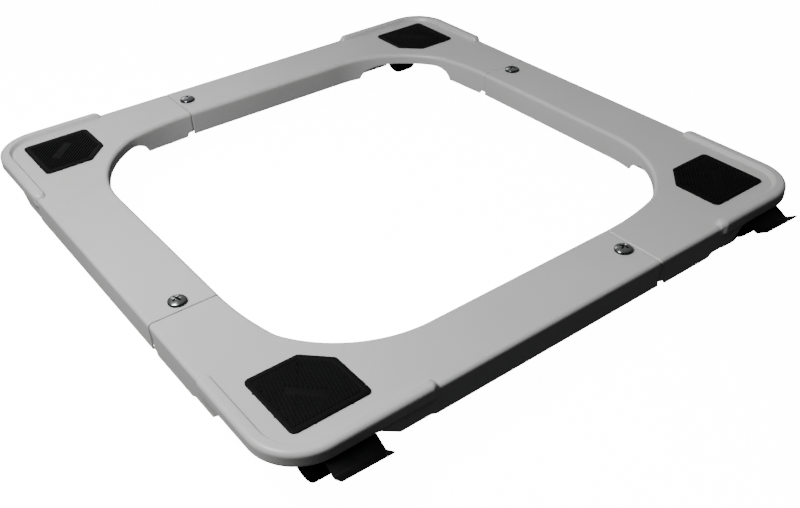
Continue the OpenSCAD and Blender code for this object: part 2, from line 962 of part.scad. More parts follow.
// Half section of a back wheel: x is the radius and y the distance along the axle
module back_wheel_section() {
    half = back_wheel_w / 2;
    bore = axle_d / 2 + run_clear;
    hub = axle_d + 1;
    dish = wheel_r - back_round;
    difference() {
        union() {
            translate([bore, -back_leg_in + 0.3])
                square([hub - bore, 2 * back_leg_in - 0.6]);
            translate([bore, -half])
                square([wheel_r - back_round - bore, back_wheel_w]);
            translate([bore, back_round - half])
                square([wheel_r - bore, back_wheel_w - 2 * back_round]);
            for (s = [-1, 1])
                translate([dish, s * (half - back_round)])
                    circle(back_round);
        }
        // dished faces
        for (s = [-1, 1])
            polygon([
                [hub, s * (half + 1)], [dish - 1, s * (half + 1)],
                [dish - 1, s * half], [dish - 2.5, s * (half - 2.5)], [hub, s * (half - 2.5)]
            ]);
    }
}

module back_wheel(i) {
    color(black)
        at_castor(i)
            translate([0, -back_trail, wheel_r])
                rotate([0, 90, 0])
                    rotate_extrude($fn = 72)
                        back_wheel_section();
}

// Heights that the pedal's side view uses
pin_z = head_under - pin_drop;
foot_top = top_z - relief_h - foot_gap;
arm_top = foot_top - 1.4;
arm_under = arm_top - pedal_t;
ear_r = pin_d / 2 + 1.6;
ear_x = leg_gap / 2 + fork_t + 2.3;
spring_fwd = pin_fwd + 10;
spring_z = arm_under - 10.5;

// A bent strip of thickness t under the line through pts
function strip_normal(a, b) = [b[1] - a[1], a[0] - b[0]] / norm(b - a);
function strip_offset(pts, n, t) =
    let (
        last = len(pts) - 1,
        before = strip_normal(pts[max(n - 1, 0)], pts[max(n, 1)]),
        after = strip_normal(pts[min(n, last - 1)], pts[min(n + 1, last)]),
        both = before + after
    )
    pts[n] + 2 * t / (both * both) * both;
module strip(pts, t) {
    polygon(concat(pts, [for (n = [len(pts) - 1:-1:0]) strip_offset(pts, n, t)]));
}

module brake_pedal(i) {
    plate_start = pin_fwd + 6;
    foot_line = [
        [foot_in, foot_top], [foot_bend, foot_top - foot_drop],
        [foot_tip, foot_top - foot_drop + lip_rise]
    ];
    merge = foot_in + (foot_top - arm_top) / foot_drop * (foot_bend - foot_in);
    color(black)
        at_castor(i)
            difference() {
                union() {
                    castor_side(-pedal_w / 2, pedal_w / 2)
                        strip(foot_line, pedal_t);
                    // arm under the bracket
                    castor_side(-pedal_arm_w / 2, pedal_arm_w / 2)
                        polygon([
                            [plate_start, arm_top], [merge, arm_top],
                            [merge, arm_under], [plate_start, arm_under]
                        ]);
                    for (s = [0, 1])
                        mirror([s, 0, 0]) {
                            // ear on the pin, with a flange under the arm
                            castor_side(ear_x, ear_x + 2) {
                                translate([pin_fwd, pin_z])
                                    circle(ear_r);
                                polygon([
                                    [pin_fwd, pin_z + ear_r], [plate_start + ear_run, arm_top],
                                    [plate_start + ear_run, arm_under - 0.5], [pin_fwd, pin_z - ear_r]
                                ]);
                            }
                            // shoe shaped to the tread at full press
                            castor_side(wheel_in + 0.5, pedal_arm_w / 2)
                                difference() {
                                    translate([trail + wheel_r * 0.45, wheel_r + wheel_r / 2])
                                        square([wheel_r * 0.4, arm_under + 0.5 - wheel_r * 1.5]);
                                    translate([pin_fwd, pin_z])
                                        rotate(press)
                                            translate([trail - pin_fwd, wheel_r - pin_z])
                                                circle(wheel_r + shoe_gap, $fn = 96);
                                }
                        }
                }
                castor_side(-pedal_w, pedal_w)
                    translate([pin_fwd, pin_z])
                        circle(pin_d / 2 + run_clear);
            }
}

module pedal_pin(i) {
    half = ear_x + 3;
    color(zinc)
        at_castor(i)
            castor_side(-half, half)
                translate([pin_fwd, pin_z])
                    circle(pin_d / 2);
}

// Helical compression spring between the fork's shelf and the pedal's arm, as one unbroken tube
module pedal_spring(i) {
    rings = 8;
    sides = 6;
    steps = round(rings * spring_turns);
    coil_r = (spring_d - spring_wire) / 2;
    wire_r = spring_wire / 2;
    play = 0.1;
    rise = arm_under - spring_z - spring_wire - 2 * play;
    lead = atan(rise / (2 * PI * coil_r * spring_turns));
    points = [
        for (k = [0:steps])
            let (a = 360 * k / rings)
            for (s = [0:sides - 1])
                let (
                    b = 360 * s / sides,
                    out = wire_r * cos(b),
                    up = wire_r * sin(b)
                )
                [
                    (coil_r + out) * cos(a) + up * sin(lead) * sin(a),
                    (coil_r + out) * sin(a) - up * sin(lead) * cos(a),
                    wire_r + play + rise * k / steps + up * cos(lead)
                ]
    ];
    skin = [
        for (k = [0:steps - 1])
            for (s = [0:sides - 1])
                let (a = k * sides + s, b = k * sides + (s + 1) % sides)
                each [[a, a + sides, b], [b, a + sides, b + sides]]
    ];
    start_cap = [for (s = [1:sides - 2]) [0, s, s + 1]];
    end_cap = [for (s = [1:sides - 2]) [steps * sides, steps * sides + s + 1, steps * sides + s]];
    color(zinc)
        at_castor(i)
            translate([0, -spring_fwd, spring_z])
                polyhedron(points = points, faces = concat(skin, start_cap, end_cap));
}

for (i = SIDES) {
    c = CORNERS[i];
    corner_frame(i);
    corner_pad(i);
    clamp_screw(i);
    clamp_washer(i);
    clamp_nut(i);
    castor_plate(i);
    plate_rivets(i);
    kingpin(i);
    bearing_balls(i);
    wheel_axle(i);
}
for (i = FRONT) {
    c = CORNERS[i];
    castor_fork(i);
    wheel(i, -1);
    wheel(i, 1);
    brake_pedal(i);
    pedal_pin(i);
    pedal_spring(i);
}
for (i = BACK) {
    c = CORNERS[i];
    back_fork(i);
    back_wheel(i);
}
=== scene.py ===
"""Looks of a wheeled, adjustable base for a washing machine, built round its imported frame.

Shapes are worked out in millimetres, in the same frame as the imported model, and stored in metres.
"""

import bmesh
import bpy
import numpy as np
from mathutils import Matrix


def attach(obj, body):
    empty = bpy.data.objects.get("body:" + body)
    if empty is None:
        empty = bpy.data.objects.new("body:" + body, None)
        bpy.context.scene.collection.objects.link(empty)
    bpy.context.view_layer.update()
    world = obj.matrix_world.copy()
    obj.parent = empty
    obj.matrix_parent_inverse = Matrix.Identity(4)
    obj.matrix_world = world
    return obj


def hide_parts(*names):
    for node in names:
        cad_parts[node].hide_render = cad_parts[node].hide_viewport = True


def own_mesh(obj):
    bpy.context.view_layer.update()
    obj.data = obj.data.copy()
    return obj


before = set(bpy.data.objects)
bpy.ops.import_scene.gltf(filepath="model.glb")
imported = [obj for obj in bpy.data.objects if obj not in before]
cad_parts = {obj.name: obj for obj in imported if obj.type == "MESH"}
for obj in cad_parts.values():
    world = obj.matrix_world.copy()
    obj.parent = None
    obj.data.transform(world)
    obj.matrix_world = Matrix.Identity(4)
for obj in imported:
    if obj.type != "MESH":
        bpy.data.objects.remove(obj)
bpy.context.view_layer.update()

# Studio. The camera stands near the front left corner, above the base, as in the photograph. One soft light
# hangs close by on the left, little comes from the front, and a pale floor throws light up inside the base.
view = Matrix((
    (0.7935, 0.3666, -0.4857),
    (-0.6080, 0.4435, -0.6586),
    (-0.0260, 0.8179, 0.5748),
))
lens = bpy.data.cameras.new("photo_view")
lens.lens = 43.0
camera = bpy.data.objects.new("photo_view", lens)
camera.rotation_euler = view.to_euler()
camera.location = (-0.4915, -0.7041, 0.5467)
bpy.context.collection.objects.link(camera)
bpy.context.scene.camera = camera


def add_node(tree, kind, settings=None, **inputs):
    """Adds a node. settings are its own properties; an input is a number, a colour or a socket, by its name
    with underscores, or by its place as i0, i1 and so on."""
    made = tree.nodes.new(kind)
    for key, value in (settings or {}).items():
        setattr(made, key, value)
    for key, value in inputs.items():
        spot = int(key[1:]) if key[0] == "i" and key[1:].isdigit() else key.replace("_", " ")
        if isinstance(value, bpy.types.NodeSocket):
            tree.links.new(value, made.inputs[spot])
        else:
            made.inputs[spot].default_value = value
    return made


def soft_light(name, spot, target, size, watts):
    """A square light at spot that faces target, both in metres."""
    data = bpy.data.lights.new(name, "AREA")
    data.size = size
    data.energy = watts
    light = bpy.data.objects.new(name, data)
    light.location = spot
    aim = light.location - Matrix.Translation(target).to_translation()
    light.rotation_euler = aim.to_track_quat("Z", "Y").to_euler()
    bpy.context.collection.objects.link(light)


soft_light("key_softbox", (-0.62, -0.06, 0.84), (0.0, 0.0, 0.0), 0.36, 14.0)
soft_light("back_softbox", (0.3, 1.6, 0.9), (0.0, 0.0, 0.0), 0.9, 4.0)

sky = bpy.data.worlds.new("studio_air")
sky.use_nodes = True
air = sky.node_tree
air.nodes.clear()
heading = add_node(air, "ShaderNodeTexCoord").outputs["Generated"]
parts = add_node(air, "ShaderNodeSeparateXYZ", i0=heading)
behind = add_node(air, "ShaderNodeMapRange", i0=parts.outputs["Y"], i1=-0.6, i2=0.7, i3=0.01, i4=0.16)
overhead = add_node(air, "ShaderNodeMapRange", i0=parts.outputs["Z"], i1=0.1, i2=0.9, i3=0.0, i4=0.08)
glow = add_node(air, "ShaderNodeMath", {"operation": "ADD"}, i0=behind.outputs[0], i1=overhead.outputs[0])
path = add_node(air, "ShaderNodeLightPath")
level = add_node(air, "ShaderNodeMix", i0=path.outputs["Is Camera Ray"], i2=glow.outputs[0], i3=16.0)
shine = add_node(air, "ShaderNodeBackground", Color=(1.0, 1.0, 1.0, 1.0), Strength=level.outputs[0])
add_node(air, "ShaderNodeOutputWorld", Surface=shine.outputs[0])
bpy.context.scene.world = sky

floor_mesh = bpy.data.meshes.new("studio_floor")
floor_mesh.from_pydata([(-6, -6, 0), (6, -6, 0), (6, 6, 0), (-6, 6, 0)], [], [(0, 1, 2, 3)])
studio_floor = bpy.data.objects.new("studio_floor", floor_mesh)
bpy.context.collection.objects.link(studio_floor)
paper = bpy.data.materials.new("pale_paper")
paper.use_nodes = True
tree = paper.node_tree
tree.nodes.clear()
spot = add_node(tree, "ShaderNodeTexCoord").outputs["Object"]
parts = add_node(tree, "ShaderNodeSeparateXYZ", i0=spot)
inside = add_node(tree, "ShaderNodeMapRange", i0=parts.outputs["Y"], i1=-0.32, i2=-0.16, i3=0.03, i4=0.1)
path = add_node(tree, "ShaderNodeLightPath")
bounce = add_node(
    tree, "ShaderNodeMix", i0=path.outputs["Is Camera Ray"], i2=inside.outputs[0], i3=0.93
)
grey = bounce.outputs[0]
tone = add_node(tree, "ShaderNodeCombineColor", i0=grey, i1=grey, i2=grey)
lit = add_node(tree, "ShaderNodeBsdfDiffuse", Color=tone.outputs[0])
seen = path.outputs["Is Camera Ray"]
lift = add_node(tree, "ShaderNodeMath", {"operation": "MULTIPLY"}, i0=seen, i1=15.0)
own = add_node(tree, "ShaderNodeEmission", Color=(1.0, 1.0, 1.0, 1.0), Strength=lift.outputs[0])
both = add_node(tree, "ShaderNodeAddShader", i0=lit.outputs[0], i1=own.outputs[0])
add_node(tree, "ShaderNodeOutputMaterial", Surface=both.outputs[0])
floor_mesh.materials.append(paper)

# Corner brackets. Each is one sheet of 1.5 mm steel, pressed to an L of two channel arms with a raised rim
# round the outer corner, cut away below the rim, drilled and slotted, then powder coated light grey.
CORNERS = ("front_left", "front_right", "back_right", "back_left")
SIDE = np.array([(-1, -1), (1, -1), (1, 1), (-1, 1)])
half_base = 300.0
top = 57.0
sheet = 1.5
corner_r = 45.0
rim_out = 2.5
bend_r = 4.0
rim_h = 4.5
rim_tongue = 125.0
rim_cover = 141.0
rim_ramp = 7.0
arm_in = 68.5
tongue_tip = 488.0
shoulder = 208.6
cover_end = 391.0
step_in = 1.7


def smooth(t):
    """Rises from 0 to 1 as t does, level at both ends: 3 t squared less 2 t cubed."""
    t = np.clip(t, 0.0, 1.0)
    return t * t * (3.0 - 2.0 * t)


def grid_faces(rows, columns, around=False):
    """Quads between neighbours of a grid of rows by columns, the last column next to the first if around."""
    index = np.arange(rows * columns).reshape(rows, columns)
    if around:
        index = np.hstack([index, index[:, :1]])
    corners = (index[:-1, :-1], index[:-1, 1:], index[1:, 1:], index[1:, :-1])
    return np.stack(corners, -1).reshape(-1, 4)


def make_piece(name, parts, crisp=42.0, marks=None):
    """One mesh from parts, each some points in millimetres and arrays of faces. Doubles are merged, faces
    turned outward, and edges that turn more than crisp degrees left sharp. marks is a value per point."""
    points, faces, start = [], [], 0
    for spots, *polygons in parts:
        spots = np.reshape(spots, (-1, 3))
        for polygon in polygons:
            faces += (np.asarray(polygon) + start).tolist()
        points.append(spots)
        start += len(spots)
    mesh = bpy.data.meshes.new(name)
    mesh.from_pydata((np.concatenate(points) * 0.001).tolist(), [], faces)
    if marks is not None:
        layer = mesh.attributes.new("free_edge", "FLOAT", "POINT")
        layer.data.foreach_set("value", np.ravel(marks).astype(np.float32))
    work = bmesh.new()
    work.from_mesh(mesh)
    bmesh.ops.remove_doubles(work, verts=work.verts, dist=1e-6)
    bmesh.ops.recalc_face_normals(work, faces=work.faces)
    work.to_mesh(mesh)
    work.free()
    mesh.shade_smooth()
    mesh.set_sharp_from_angle(angle=np.radians(crisp))
    piece = bpy.data.objects.new(name, mesh)
    bpy.context.collection.objects.link(piece)
    return piece


def cut_away(piece, cutter, crisp=42.0):
    """Takes cutter's solid out of piece for good, and removes the cutter."""
    cut = piece.modifiers.new("cut", "BOOLEAN")
    cut.object = cutter
    cut.solver = "EXACT"
    ready = piece.evaluated_get(bpy.context.evaluated_depsgraph_get())
    mesh = bpy.data.meshes.new_from_object(ready)
    piece.modifiers.clear()
    piece.data = mesh
    mesh.shade_smooth()
    mesh.set_sharp_from_angle(angle=np.radians(crisp))
    bpy.data.objects.remove(cutter)


def arc(centre, radius, first, last, count):
    """Points on a circle from bearing first to bearing last, in degrees."""
    turn = np.radians(np.linspace(first, last, count))
    return np.stack([centre[0] + radius * np.cos(turn), centre[1] + radius * np.sin(turn)], -1)


def prism(outline, low, high):
    """A closed outline carried straight up from low to high, with both ends covered."""
    n = len(outline)
    rings = np.stack([np.column_stack([outline, np.full(n, z)]) for z in (low, high)])
    return rings, grid_faces(2, n, around=True), [np.arange(n), np.arange(n) + n]


def place_copy(piece, name, turn, shift):
    """A copy of piece with its mesh turned about the vertical in degrees, then shifted, in millimetres."""
    twin = bpy.data.objects.new(name, piece.data.copy())
    bpy.context.collection.objects.link(twin)
    twin.data.transform(Matrix.Rotation(np.radians(turn), 4, "Z"))
    twin.data.transform(Matrix.Translation((shift[0] * 0.001, shift[1] * 0.001, 0.0)))
    return twin


# the opening's edge: a wide flare from the shoulder, a tight blend, then the main curve round the corner
flare_r, blend_r, main_r = 282.0, 40.0, 120.0
main_set = 3.3
flare_c = np.array([arm_in + flare_r, shoulder])
main_c = np.array([arm_in + main_r - main_set, arm_in + main_r])
gap = main_c - flare_c
apart = np.hypot(*gap)
along = (apart**2 + (flare_r - blend_r) ** 2 - (main_r - blend_r) ** 2) / (2.0 * apart)
across = np.sqrt((flare_r - blend_r) ** 2 - along**2)
blend_c = flare_c + along * gap / apart + across * np.array([-gap[1], gap[0]]) / apart
centres = np.array([flare_c, blend_c, main_c])
radii = np.array([flare_r, blend_r, main_r])
bearings = np.array([
    np.pi,
    np.arctan2(*(blend_c - flare_c)[::-1]) % (2 * np.pi),
    np.arctan2(*(blend_c - main_c)[::-1]) % (2 * np.pi),
    1.5 * np.pi,
])
inner_at = tongue_tip - shoulder + np.concatenate([[0.0], np.cumsum(radii * np.diff(bearings))])
inner_end = inner_at[3] + cover_end - main_c[0]
turn_start = tongue_tip - corner_r
turn_end = turn_start + corner_r * np.pi / 2
outer_end = turn_end + cover_end - corner_r


def outer_line(a):
    """The bracket's outer outline at length a from the tongue's tip: straight, a quarter circle, straight.
    Gives the points and the directions that face out."""
    turn = np.pi + np.clip((a - turn_start) / corner_r, 0.0, np.pi / 2)
    out = np.stack([np.cos(turn), np.sin(turn)], -1)
    ahead = np.stack([-np.sin(turn), np.cos(turn)], -1)
    straight = np.minimum(a - turn_start, 0.0) + np.maximum(a - turn_end, 0.0)
    return corner_r + corner_r * out + straight[:, None] * ahead, out


def inner_line(b):
    """The opening's edge at length b from the tongue's tip: straight, three arcs that touch, straight.
    Gives the points and the directions that face into the sheet."""
    turn = np.interp(b, inner_at, bearings)
    k = np.searchsorted(inner_at[1:3], b)
    into = np.stack([np.cos(turn), np.sin(turn)], -1)
    ahead = np.stack([-np.sin(turn), np.cos(turn)], -1)
    straight = np.minimum(b - inner_at[0], 0.0) + np.maximum(b - inner_at[3], 0.0)
    return centres[k] + radii[k][:, None] * into + straight[:, None] * ahead, into


# lengths on the outer outline and the lengths on the opening's edge that face them
full = tongue_tip - shoulder
outer_keys = np.array([
    full, full + 69.6, (turn_start + turn_end) / 2, turn_end - corner_r + 139.0,
    turn_end - corner_r + 183.2,
])
inner_keys = np.array([full, full + 69.8, full + 116.6, full + 162.3, inner_at[3]])
outer_keys = np.concatenate([[0.0], outer_keys, [outer_end]])
inner_keys = np.concatenate([[0.0], inner_keys, [inner_end]])
outer_breaks = tongue_tip - np.array([201.6, 200.6, 139.0, 133.0, 104.0, 87.5])
outer_breaks = np.concatenate([outer_breaks, turn_end - corner_r + np.array([81.5, 104.0, 133.0, 139.0])])
outer_depths = np.array([23.5, 28.0, 28.0, 24.5, 24.5, 9.0, 9.0, 24.5, 24.5, 27.0])


def outer_depth(a):
    """Depth of the outside wall, from corner to corner of its cut lower edge, each corner eased."""
    return sum(np.interp(a + e, outer_breaks, outer_depths) for e in (-1.0, -0.4, 0.4, 1.0)) / 4.0


def sweep(t, low, high):
    """A quarter ellipse from low, level at t = 0, to high, upright at t = 1: 1 less the root of 1 - t t."""
    return low + (high - low) * (1.0 - np.sqrt(1.0 - np.clip(t, 0.0, 1.0) ** 2))


def inner_depth(b):
    """Depth of the inside wall: shallow round the corner, swept down to each arm, eased as outside."""
    total = 0.0
    for e in (-1.0, -0.4, 0.4, 1.0):
        x, y = inner_line(b + e)[0].T
        by_x = sweep((x - 118.0) / 39.0, 12.0, 27.0)
        by_y = np.where(y < 149.0, sweep((y - 125.0) / 24.0, 12.0, 26.0), 26.0)
        by_y = by_y + np.interp(y, [149.0, 178.8, 200.6, 201.6], [0.0, 2.0, 2.0, -2.5])
        total = total + np.where(x > 100.0, by_x, by_y)
    return total / 4.0


# stations along the bracket: every 4 mm, closer where an edge, the joggle, a rim end or a curve needs it
near_breaks = (outer_breaks[:, None] + np.linspace(-2.0, 2.0, 9)).ravel()
trial = np.linspace(0.0, inner_end, 8000)
x, y = inner_line(trial)[0].T
inner_breaks = np.concatenate([
    np.interp([-201.6, -200.6, -149.0, -148.0, -145.0, -140.0], -y, trial),
    np.interp([148.0, 153.0, 156.0, 157.0], x, trial),
])
near_inner = (np.interp(inner_breaks, inner_keys, outer_keys)[:, None] + np.linspace(-2.0, 2.0, 9)).ravel()
ramps = np.array([tongue_tip - rim_tongue, turn_end - corner_r + rim_cover - rim_ramp])
near_ramps = rim_ramp * np.linspace(0.0, 1.0, 14) ** 2 * [[1.0], [-1.0]]
near_ramps = ramps[:, None] + near_ramps + [[0.0], [rim_ramp]]
stations = np.concatenate([
    np.arange(4.0, outer_end - 2.0, 4.0),
    near_breaks,
    near_inner,
    np.arange(full - 2.2, full + 5.8, 0.4),
    near_ramps.ravel(),
    np.linspace(turn_start, turn_end, 30),
    np.interp(np.linspace(inner_at[1], inner_at[2], 10), inner_keys, outer_keys),
])
stations = np.unique(np.round(stations[(stations > 2.0) & (stations < outer_end - 2.0)], 2))
stations = stations[np.concatenate([[True], np.diff(stations) > 0.12])]
ends = np.array([0.0, 0.1, 0.35, 1.2])
stations = np.concatenate([ends, stations, outer_end - ends[::-1]])
facing = np.interp(stations, outer_keys, inner_keys)
tip_gap = np.minimum(stations, outer_end - stations)
thin = 0.35 * (1.0 - np.sqrt(np.clip(1.0 - (1.0 - tip_gap / 0.35) ** 2, 0.0, 1.0))) * (tip_gap < 0.35)
nose = np.clip(np.minimum(stations - ramps[0], ramps[1] + rim_ramp - stations) / rim_ramp, 0.0, 1.0)
rise = np.sqrt(1.0 - (1.0 - nose) ** 2)
outer_xy, outward = outer_line(stations)
inner_xy, inward = inner_line(facing)

# outside wall and rim, from the lower edge up: d is the distance in from the rim's face, z the height
# w is how high the crest has risen at a station, v how far it stands out there
w = rise[:, None]
v = smooth(nose)[:, None]
depth = outer_depth(stations)[:, None]
z_top = -bend_r * (1.0 - w)
z = np.maximum(-12.8 + np.linspace(0.0, 1.0, 13) * (z_top + 12.8), -depth + 1.2)
z = np.hstack([-depth, -depth + 0.12, -depth + 0.4, -depth + 1.2, z])
jog = np.clip((-7.3 - z) / 5.4, 0.0, 1.0)
d = rim_out - v * rim_out * (1.0 - smooth(jog))
lean = v * rim_out * 6.0 * jog * (1.0 - jog) / 5.4
n_d = 1.0 / np.hypot(1.0, lean)
n_z = lean * n_d
turn = np.radians(np.linspace(180.0, 90.0, 10))[1:]
reach = bend_r + w * (rim_h - bend_r)
mid_d = rim_out * (1.0 - v) + reach
mid_z = -bend_r * (1.0 - w)
d = np.hstack([d, mid_d + reach * np.cos(turn)])
z = np.hstack([z, mid_z + reach * np.sin(turn)])
n_d = np.hstack([n_d, np.broadcast_to(-np.cos(turn), (len(w), 9))])
n_z = np.hstack([n_z, np.broadcast_to(-np.sin(turn), (len(w), 9))])
# over the crest, down its inner slope and into the plate
crest = np.concatenate([
    [(6.2, rim_h)],
    arc((9.2, 2.7), 1.8, 90.0, 25.0, 6),
    arc((13.08, 1.0), 1.0, 205.0, 270.0, 6),
    [(18.0, 0.0)],
])
bend = np.radians(np.concatenate([[90.0], np.linspace(90.0, 25.0, 6), np.linspace(25.0, 90.0, 6), [90.0]]))
flat_d = np.append(np.linspace(rim_out + bend_r, 9.0, len(crest))[1:], 18.0)
m_d = -w * np.cos(bend)
m_z = -(1.0 - w) - w * np.sin(bend)
m = np.hypot(m_d, m_z)
over = np.maximum(w * crest[:, 0] + (1.0 - w) * flat_d, mid_d + np.linspace(0.05, 0.6, len(crest)))
d = np.hstack([d, over])
z = np.hstack([z, w * crest[:, 1]])
n_d = np.hstack([n_d, m_d / m])
n_z = np.hstack([n_z, m_z / m])

# inside bend and wall, from the plate down: e is the distance from the wall's face
deep = inner_depth(facing)[:, None]
turn = np.radians(np.linspace(90.0, 180.0, 9))
e = np.concatenate([[bend_r + 1.5], bend_r + bend_r * np.cos(turn), np.zeros(6)])
e = np.broadcast_to(e, (len(w), len(e)))
levels = np.maximum(np.array([-7.0, -11.0]), -deep + 1.2)
drop = np.broadcast_to(np.concatenate([[0.0], -bend_r + bend_r * np.sin(turn)]), (len(w), 10))
z_in = np.hstack([drop, levels, -deep + 1.2, -deep + 0.4, -deep + 0.12, -deep])
n_e = np.concatenate([[0.0], -np.cos(turn), np.ones(6)])
n_zi = np.concatenate([[-1.0], -np.sin(turn), np.zeros(6)])

# the step down to the sliding section, which starts earlier low on the outside wall
y_out = tongue_tip - stations[:, None]
gape = 3.6 * np.sin(np.pi * np.clip((-z - 2.0) / 26.0, 0.0, 1.0))
step_out = step_in * smooth((y_out - shoulder + 1.3 + gape) / 1.8) * (y_out > 150.0)
step_inside = step_in * smooth((y_out - shoulder + 1.3) / 1.8) * (y_out > 150.0)
round_out = np.zeros(d.shape[1])
round_out[:2] = (0.4, 0.12)
round_in = np.zeros(e.shape[1])
round_in[-2:] = (0.12, 0.4)


def skin(inset, sign):
    """Points of one face of the sheet: every profile point moved along its normal by the step's depth and
    inset, with sign 1 for the outer face, whose edges are rounded in, and -1 for the inner one."""
    move = step_out + inset + sign * np.maximum(round_out, thin[:, None])
    dd = d + move * n_d
    rim_part = np.dstack([outer_xy[:, None] - dd[..., None] * outward[:, None], top + z + move * n_z])
    move = step_inside + inset + sign * np.maximum(round_in, thin[:, None])
    ee = e + move * n_e
    wall_part = np.dstack([inner_xy[:, None] + ee[..., None] * inward[:, None], top + z_in + move * n_zi])
    share = np.linspace(0.0, 1.0, 8)[1:-1, None]
    plate = rim_part[:, -1:] * (1.0 - share) + wall_part[:, :1] * share
    return np.concatenate([rim_part, plate, wall_part], 1)


loop = np.concatenate([skin(0.0, 1.0), skin(sheet, -1.0)[:, ::-1]], 1)
count = loop.shape[1]
half = count // 2
edge_gap = np.hstack([z + depth, np.full((len(w), 6), 30.0), z_in + deep])
edge_gap = np.minimum(np.hstack([edge_gap, edge_gap[:, ::-1]]), tip_gap[:, None])
cap = np.arange(half - 1)
cap = np.stack([cap, cap + 1, count - 2 - cap, count - 1 - cap], -1)
last = (len(w) - 1) * count
bracket = make_piece(
    "bracket_pattern",
    [(loop, grid_faces(len(w), count, around=True), cap, cap + last)],
    marks=np.exp(-edge_gap / 0.8),
)
# screw hole, castor kingpin hole, four rivet holes, and the slot in the tongue
screw_at = (379.2, 35.5)
slot_from = 220.8
slot_run = 100.0
kingpin_at = np.array([61.0, 61.0])
holes = [
    prism(arc(screw_at, 4.35, 0.0, 352.5, 48), 30.0, 80.0),
    prism(arc(kingpin_at, 9.0, 0.0, 352.5, 48), 30.0, 80.0),
    prism(np.concatenate([
        arc((screw_at[1], slot_from + slot_run), 4.35, 0.0, 180.0, 25),
        arc((screw_at[1], slot_from), 4.35, 180.0, 360.0, 25),
    ]), 30.0, 80.0),
]
holes += [prism(arc(rivet, 2.56, 0.0, 345.0, 24), 30.0, 80.0) for rivet in kingpin_at + 23.0 * SIDE]
cut_away(bracket, make_piece("hole_punch", holes))


def start_group(name, inputs, outputs):
    """A shader node group with its inputs (name, kind, value) and float outputs, and its two end nodes."""
    group = bpy.data.node_groups.new(name, "ShaderNodeTree")
    for label, kind, value in inputs:
        made = group.interface.new_socket(label, in_out="INPUT", socket_type=kind)
        if value is not None:
            made.default_value = value
    for label in outputs:
        group.interface.new_socket(label, in_out="OUTPUT", socket_type="NodeSocketFloat")
    return group, group.nodes.new("NodeGroupInput"), group.nodes.new("NodeGroupOutput")


# fine surface texture of paint, rubber and moulded plastic: cells and noise of one size, and a slow drift
GRAIN, given, result = start_group(
    "surface_grain",
    [
        ("Place", "NodeSocketVector", None),
        ("Size", "NodeSocketFloat", 1.0),
        ("Cells", "NodeSocketFloat", 0.3),
    ],
    ["Height", "Drift"],
)
per_metre = add_node(GRAIN, "ShaderNodeMath", {"operation": "DIVIDE"}, i0=1000.0, i1=given.outputs["Size"])
fine = add_node(
    GRAIN, "ShaderNodeTexNoise",
    Vector=given.outputs["Place"], Scale=per_metre.outputs[0], Detail=2.0, Roughness=0.45,
)
cells = add_node(
    GRAIN, "ShaderNodeTexVoronoi", {"feature": "SMOOTH_F1"},
    Vector=given.outputs["Place"], Scale=per_metre.outputs[0],
)
grain_mix = add_node(
    GRAIN, "ShaderNodeMix", i0=given.outputs["Cells"], i2=fine.outputs[0], i3=cells.outputs["Distance"]
)
slow = add_node(
    GRAIN, "ShaderNodeTexNoise", Vector=given.outputs["Place"], Scale=9.0, Detail=3.0, Roughness=0.55
)
GRAIN.links.new(grain_mix.outputs[0], result.inputs["Height"])
GRAIN.links.new(slow.outputs[0], result.inputs["Drift"])

# dust that settles on faces turned up, in patches, and thin rubbed marks in all directions
DUST, given, result = start_group(
    "settled_dust",
    [("Place", "NodeSocketVector", None), ("Amount", "NodeSocketFloat", 0.1)],
    ["Dust", "Rub"],
)
normal = add_node(DUST, "ShaderNodeNewGeometry").outputs["Normal"]
upward = add_node(DUST, "ShaderNodeSeparateXYZ", i0=normal).outputs["Z"]
facing_up = add_node(DUST, "ShaderNodeMapRange", i0=upward, i1=0.3, i2=1.0, i3=0.15, i4=1.0)
patch = add_node(
    DUST, "ShaderNodeTexNoise", Vector=given.outputs["Place"], Scale=38.0, Detail=6.0, Roughness=0.65
)
patchy = add_node(DUST, "ShaderNodeMapRange", i0=patch.outputs[0], i1=0.42, i2=0.72)
dusty = add_node(
    DUST, "ShaderNodeMath", {"operation": "MULTIPLY"}, i0=facing_up.outputs[0], i1=patchy.outputs[0]
)
amount = add_node(
    DUST, "ShaderNodeMath", {"operation": "MULTIPLY"}, i0=dusty.outputs[0], i1=given.outputs["Amount"]
)
streak_at = add_node(DUST, "ShaderNodeMapping", Vector=given.outputs["Place"], Rotation=(0.0, 0.0, 0.7))
streak_at.inputs["Scale"].default_value = (30.0, 420.0, 160.0)
streak = add_node(DUST, "ShaderNodeTexNoise", Vector=streak_at.outputs[0], Scale=1.0, Detail=2.0)
rubbed = add_node(DUST, "ShaderNodeMapRange", i0=streak.outputs[0], i1=0.62, i2=0.74)
DUST.links.new(amount.outputs[0], result.inputs["Dust"])
DUST.links.new(rubbed.outputs[0], result.inputs["Rub"])


def new_finish(name):
    """A material with a Principled shader. Gives the material, its tree, the shader and object space."""
    made = bpy.data.materials.new(name)
    made.use_nodes = True
    tree = made.node_tree
    tree.nodes.clear()
    shader = tree.nodes.new("ShaderNodeBsdfPrincipled")
    add_node(tree, "ShaderNodeOutputMaterial", Surface=shader.outputs[0])
    return made, tree, shader, add_node(tree, "ShaderNodeTexCoord").outputs["Object"]


def use_group(tree, group, **inputs):
    """Places a shader node group in a material."""
    return add_node(tree, "ShaderNodeGroup", {"node_tree": group}, **inputs)


def blend_colours(tree, share, low, high):
    """The colour from low to high by share, each a socket or a colour."""
    return add_node(tree, "ShaderNodeMix", {"data_type": "RGBA"}, i0=share, i6=low, i7=high).outputs[2]


def spread(tree, value, low, high, start=0.0, end=1.0):
    """value moved from the range low to high into the range start to end."""
    return add_node(tree, "ShaderNodeMapRange", i0=value, i1=low, i2=high, i3=start, i4=end).outputs[0]


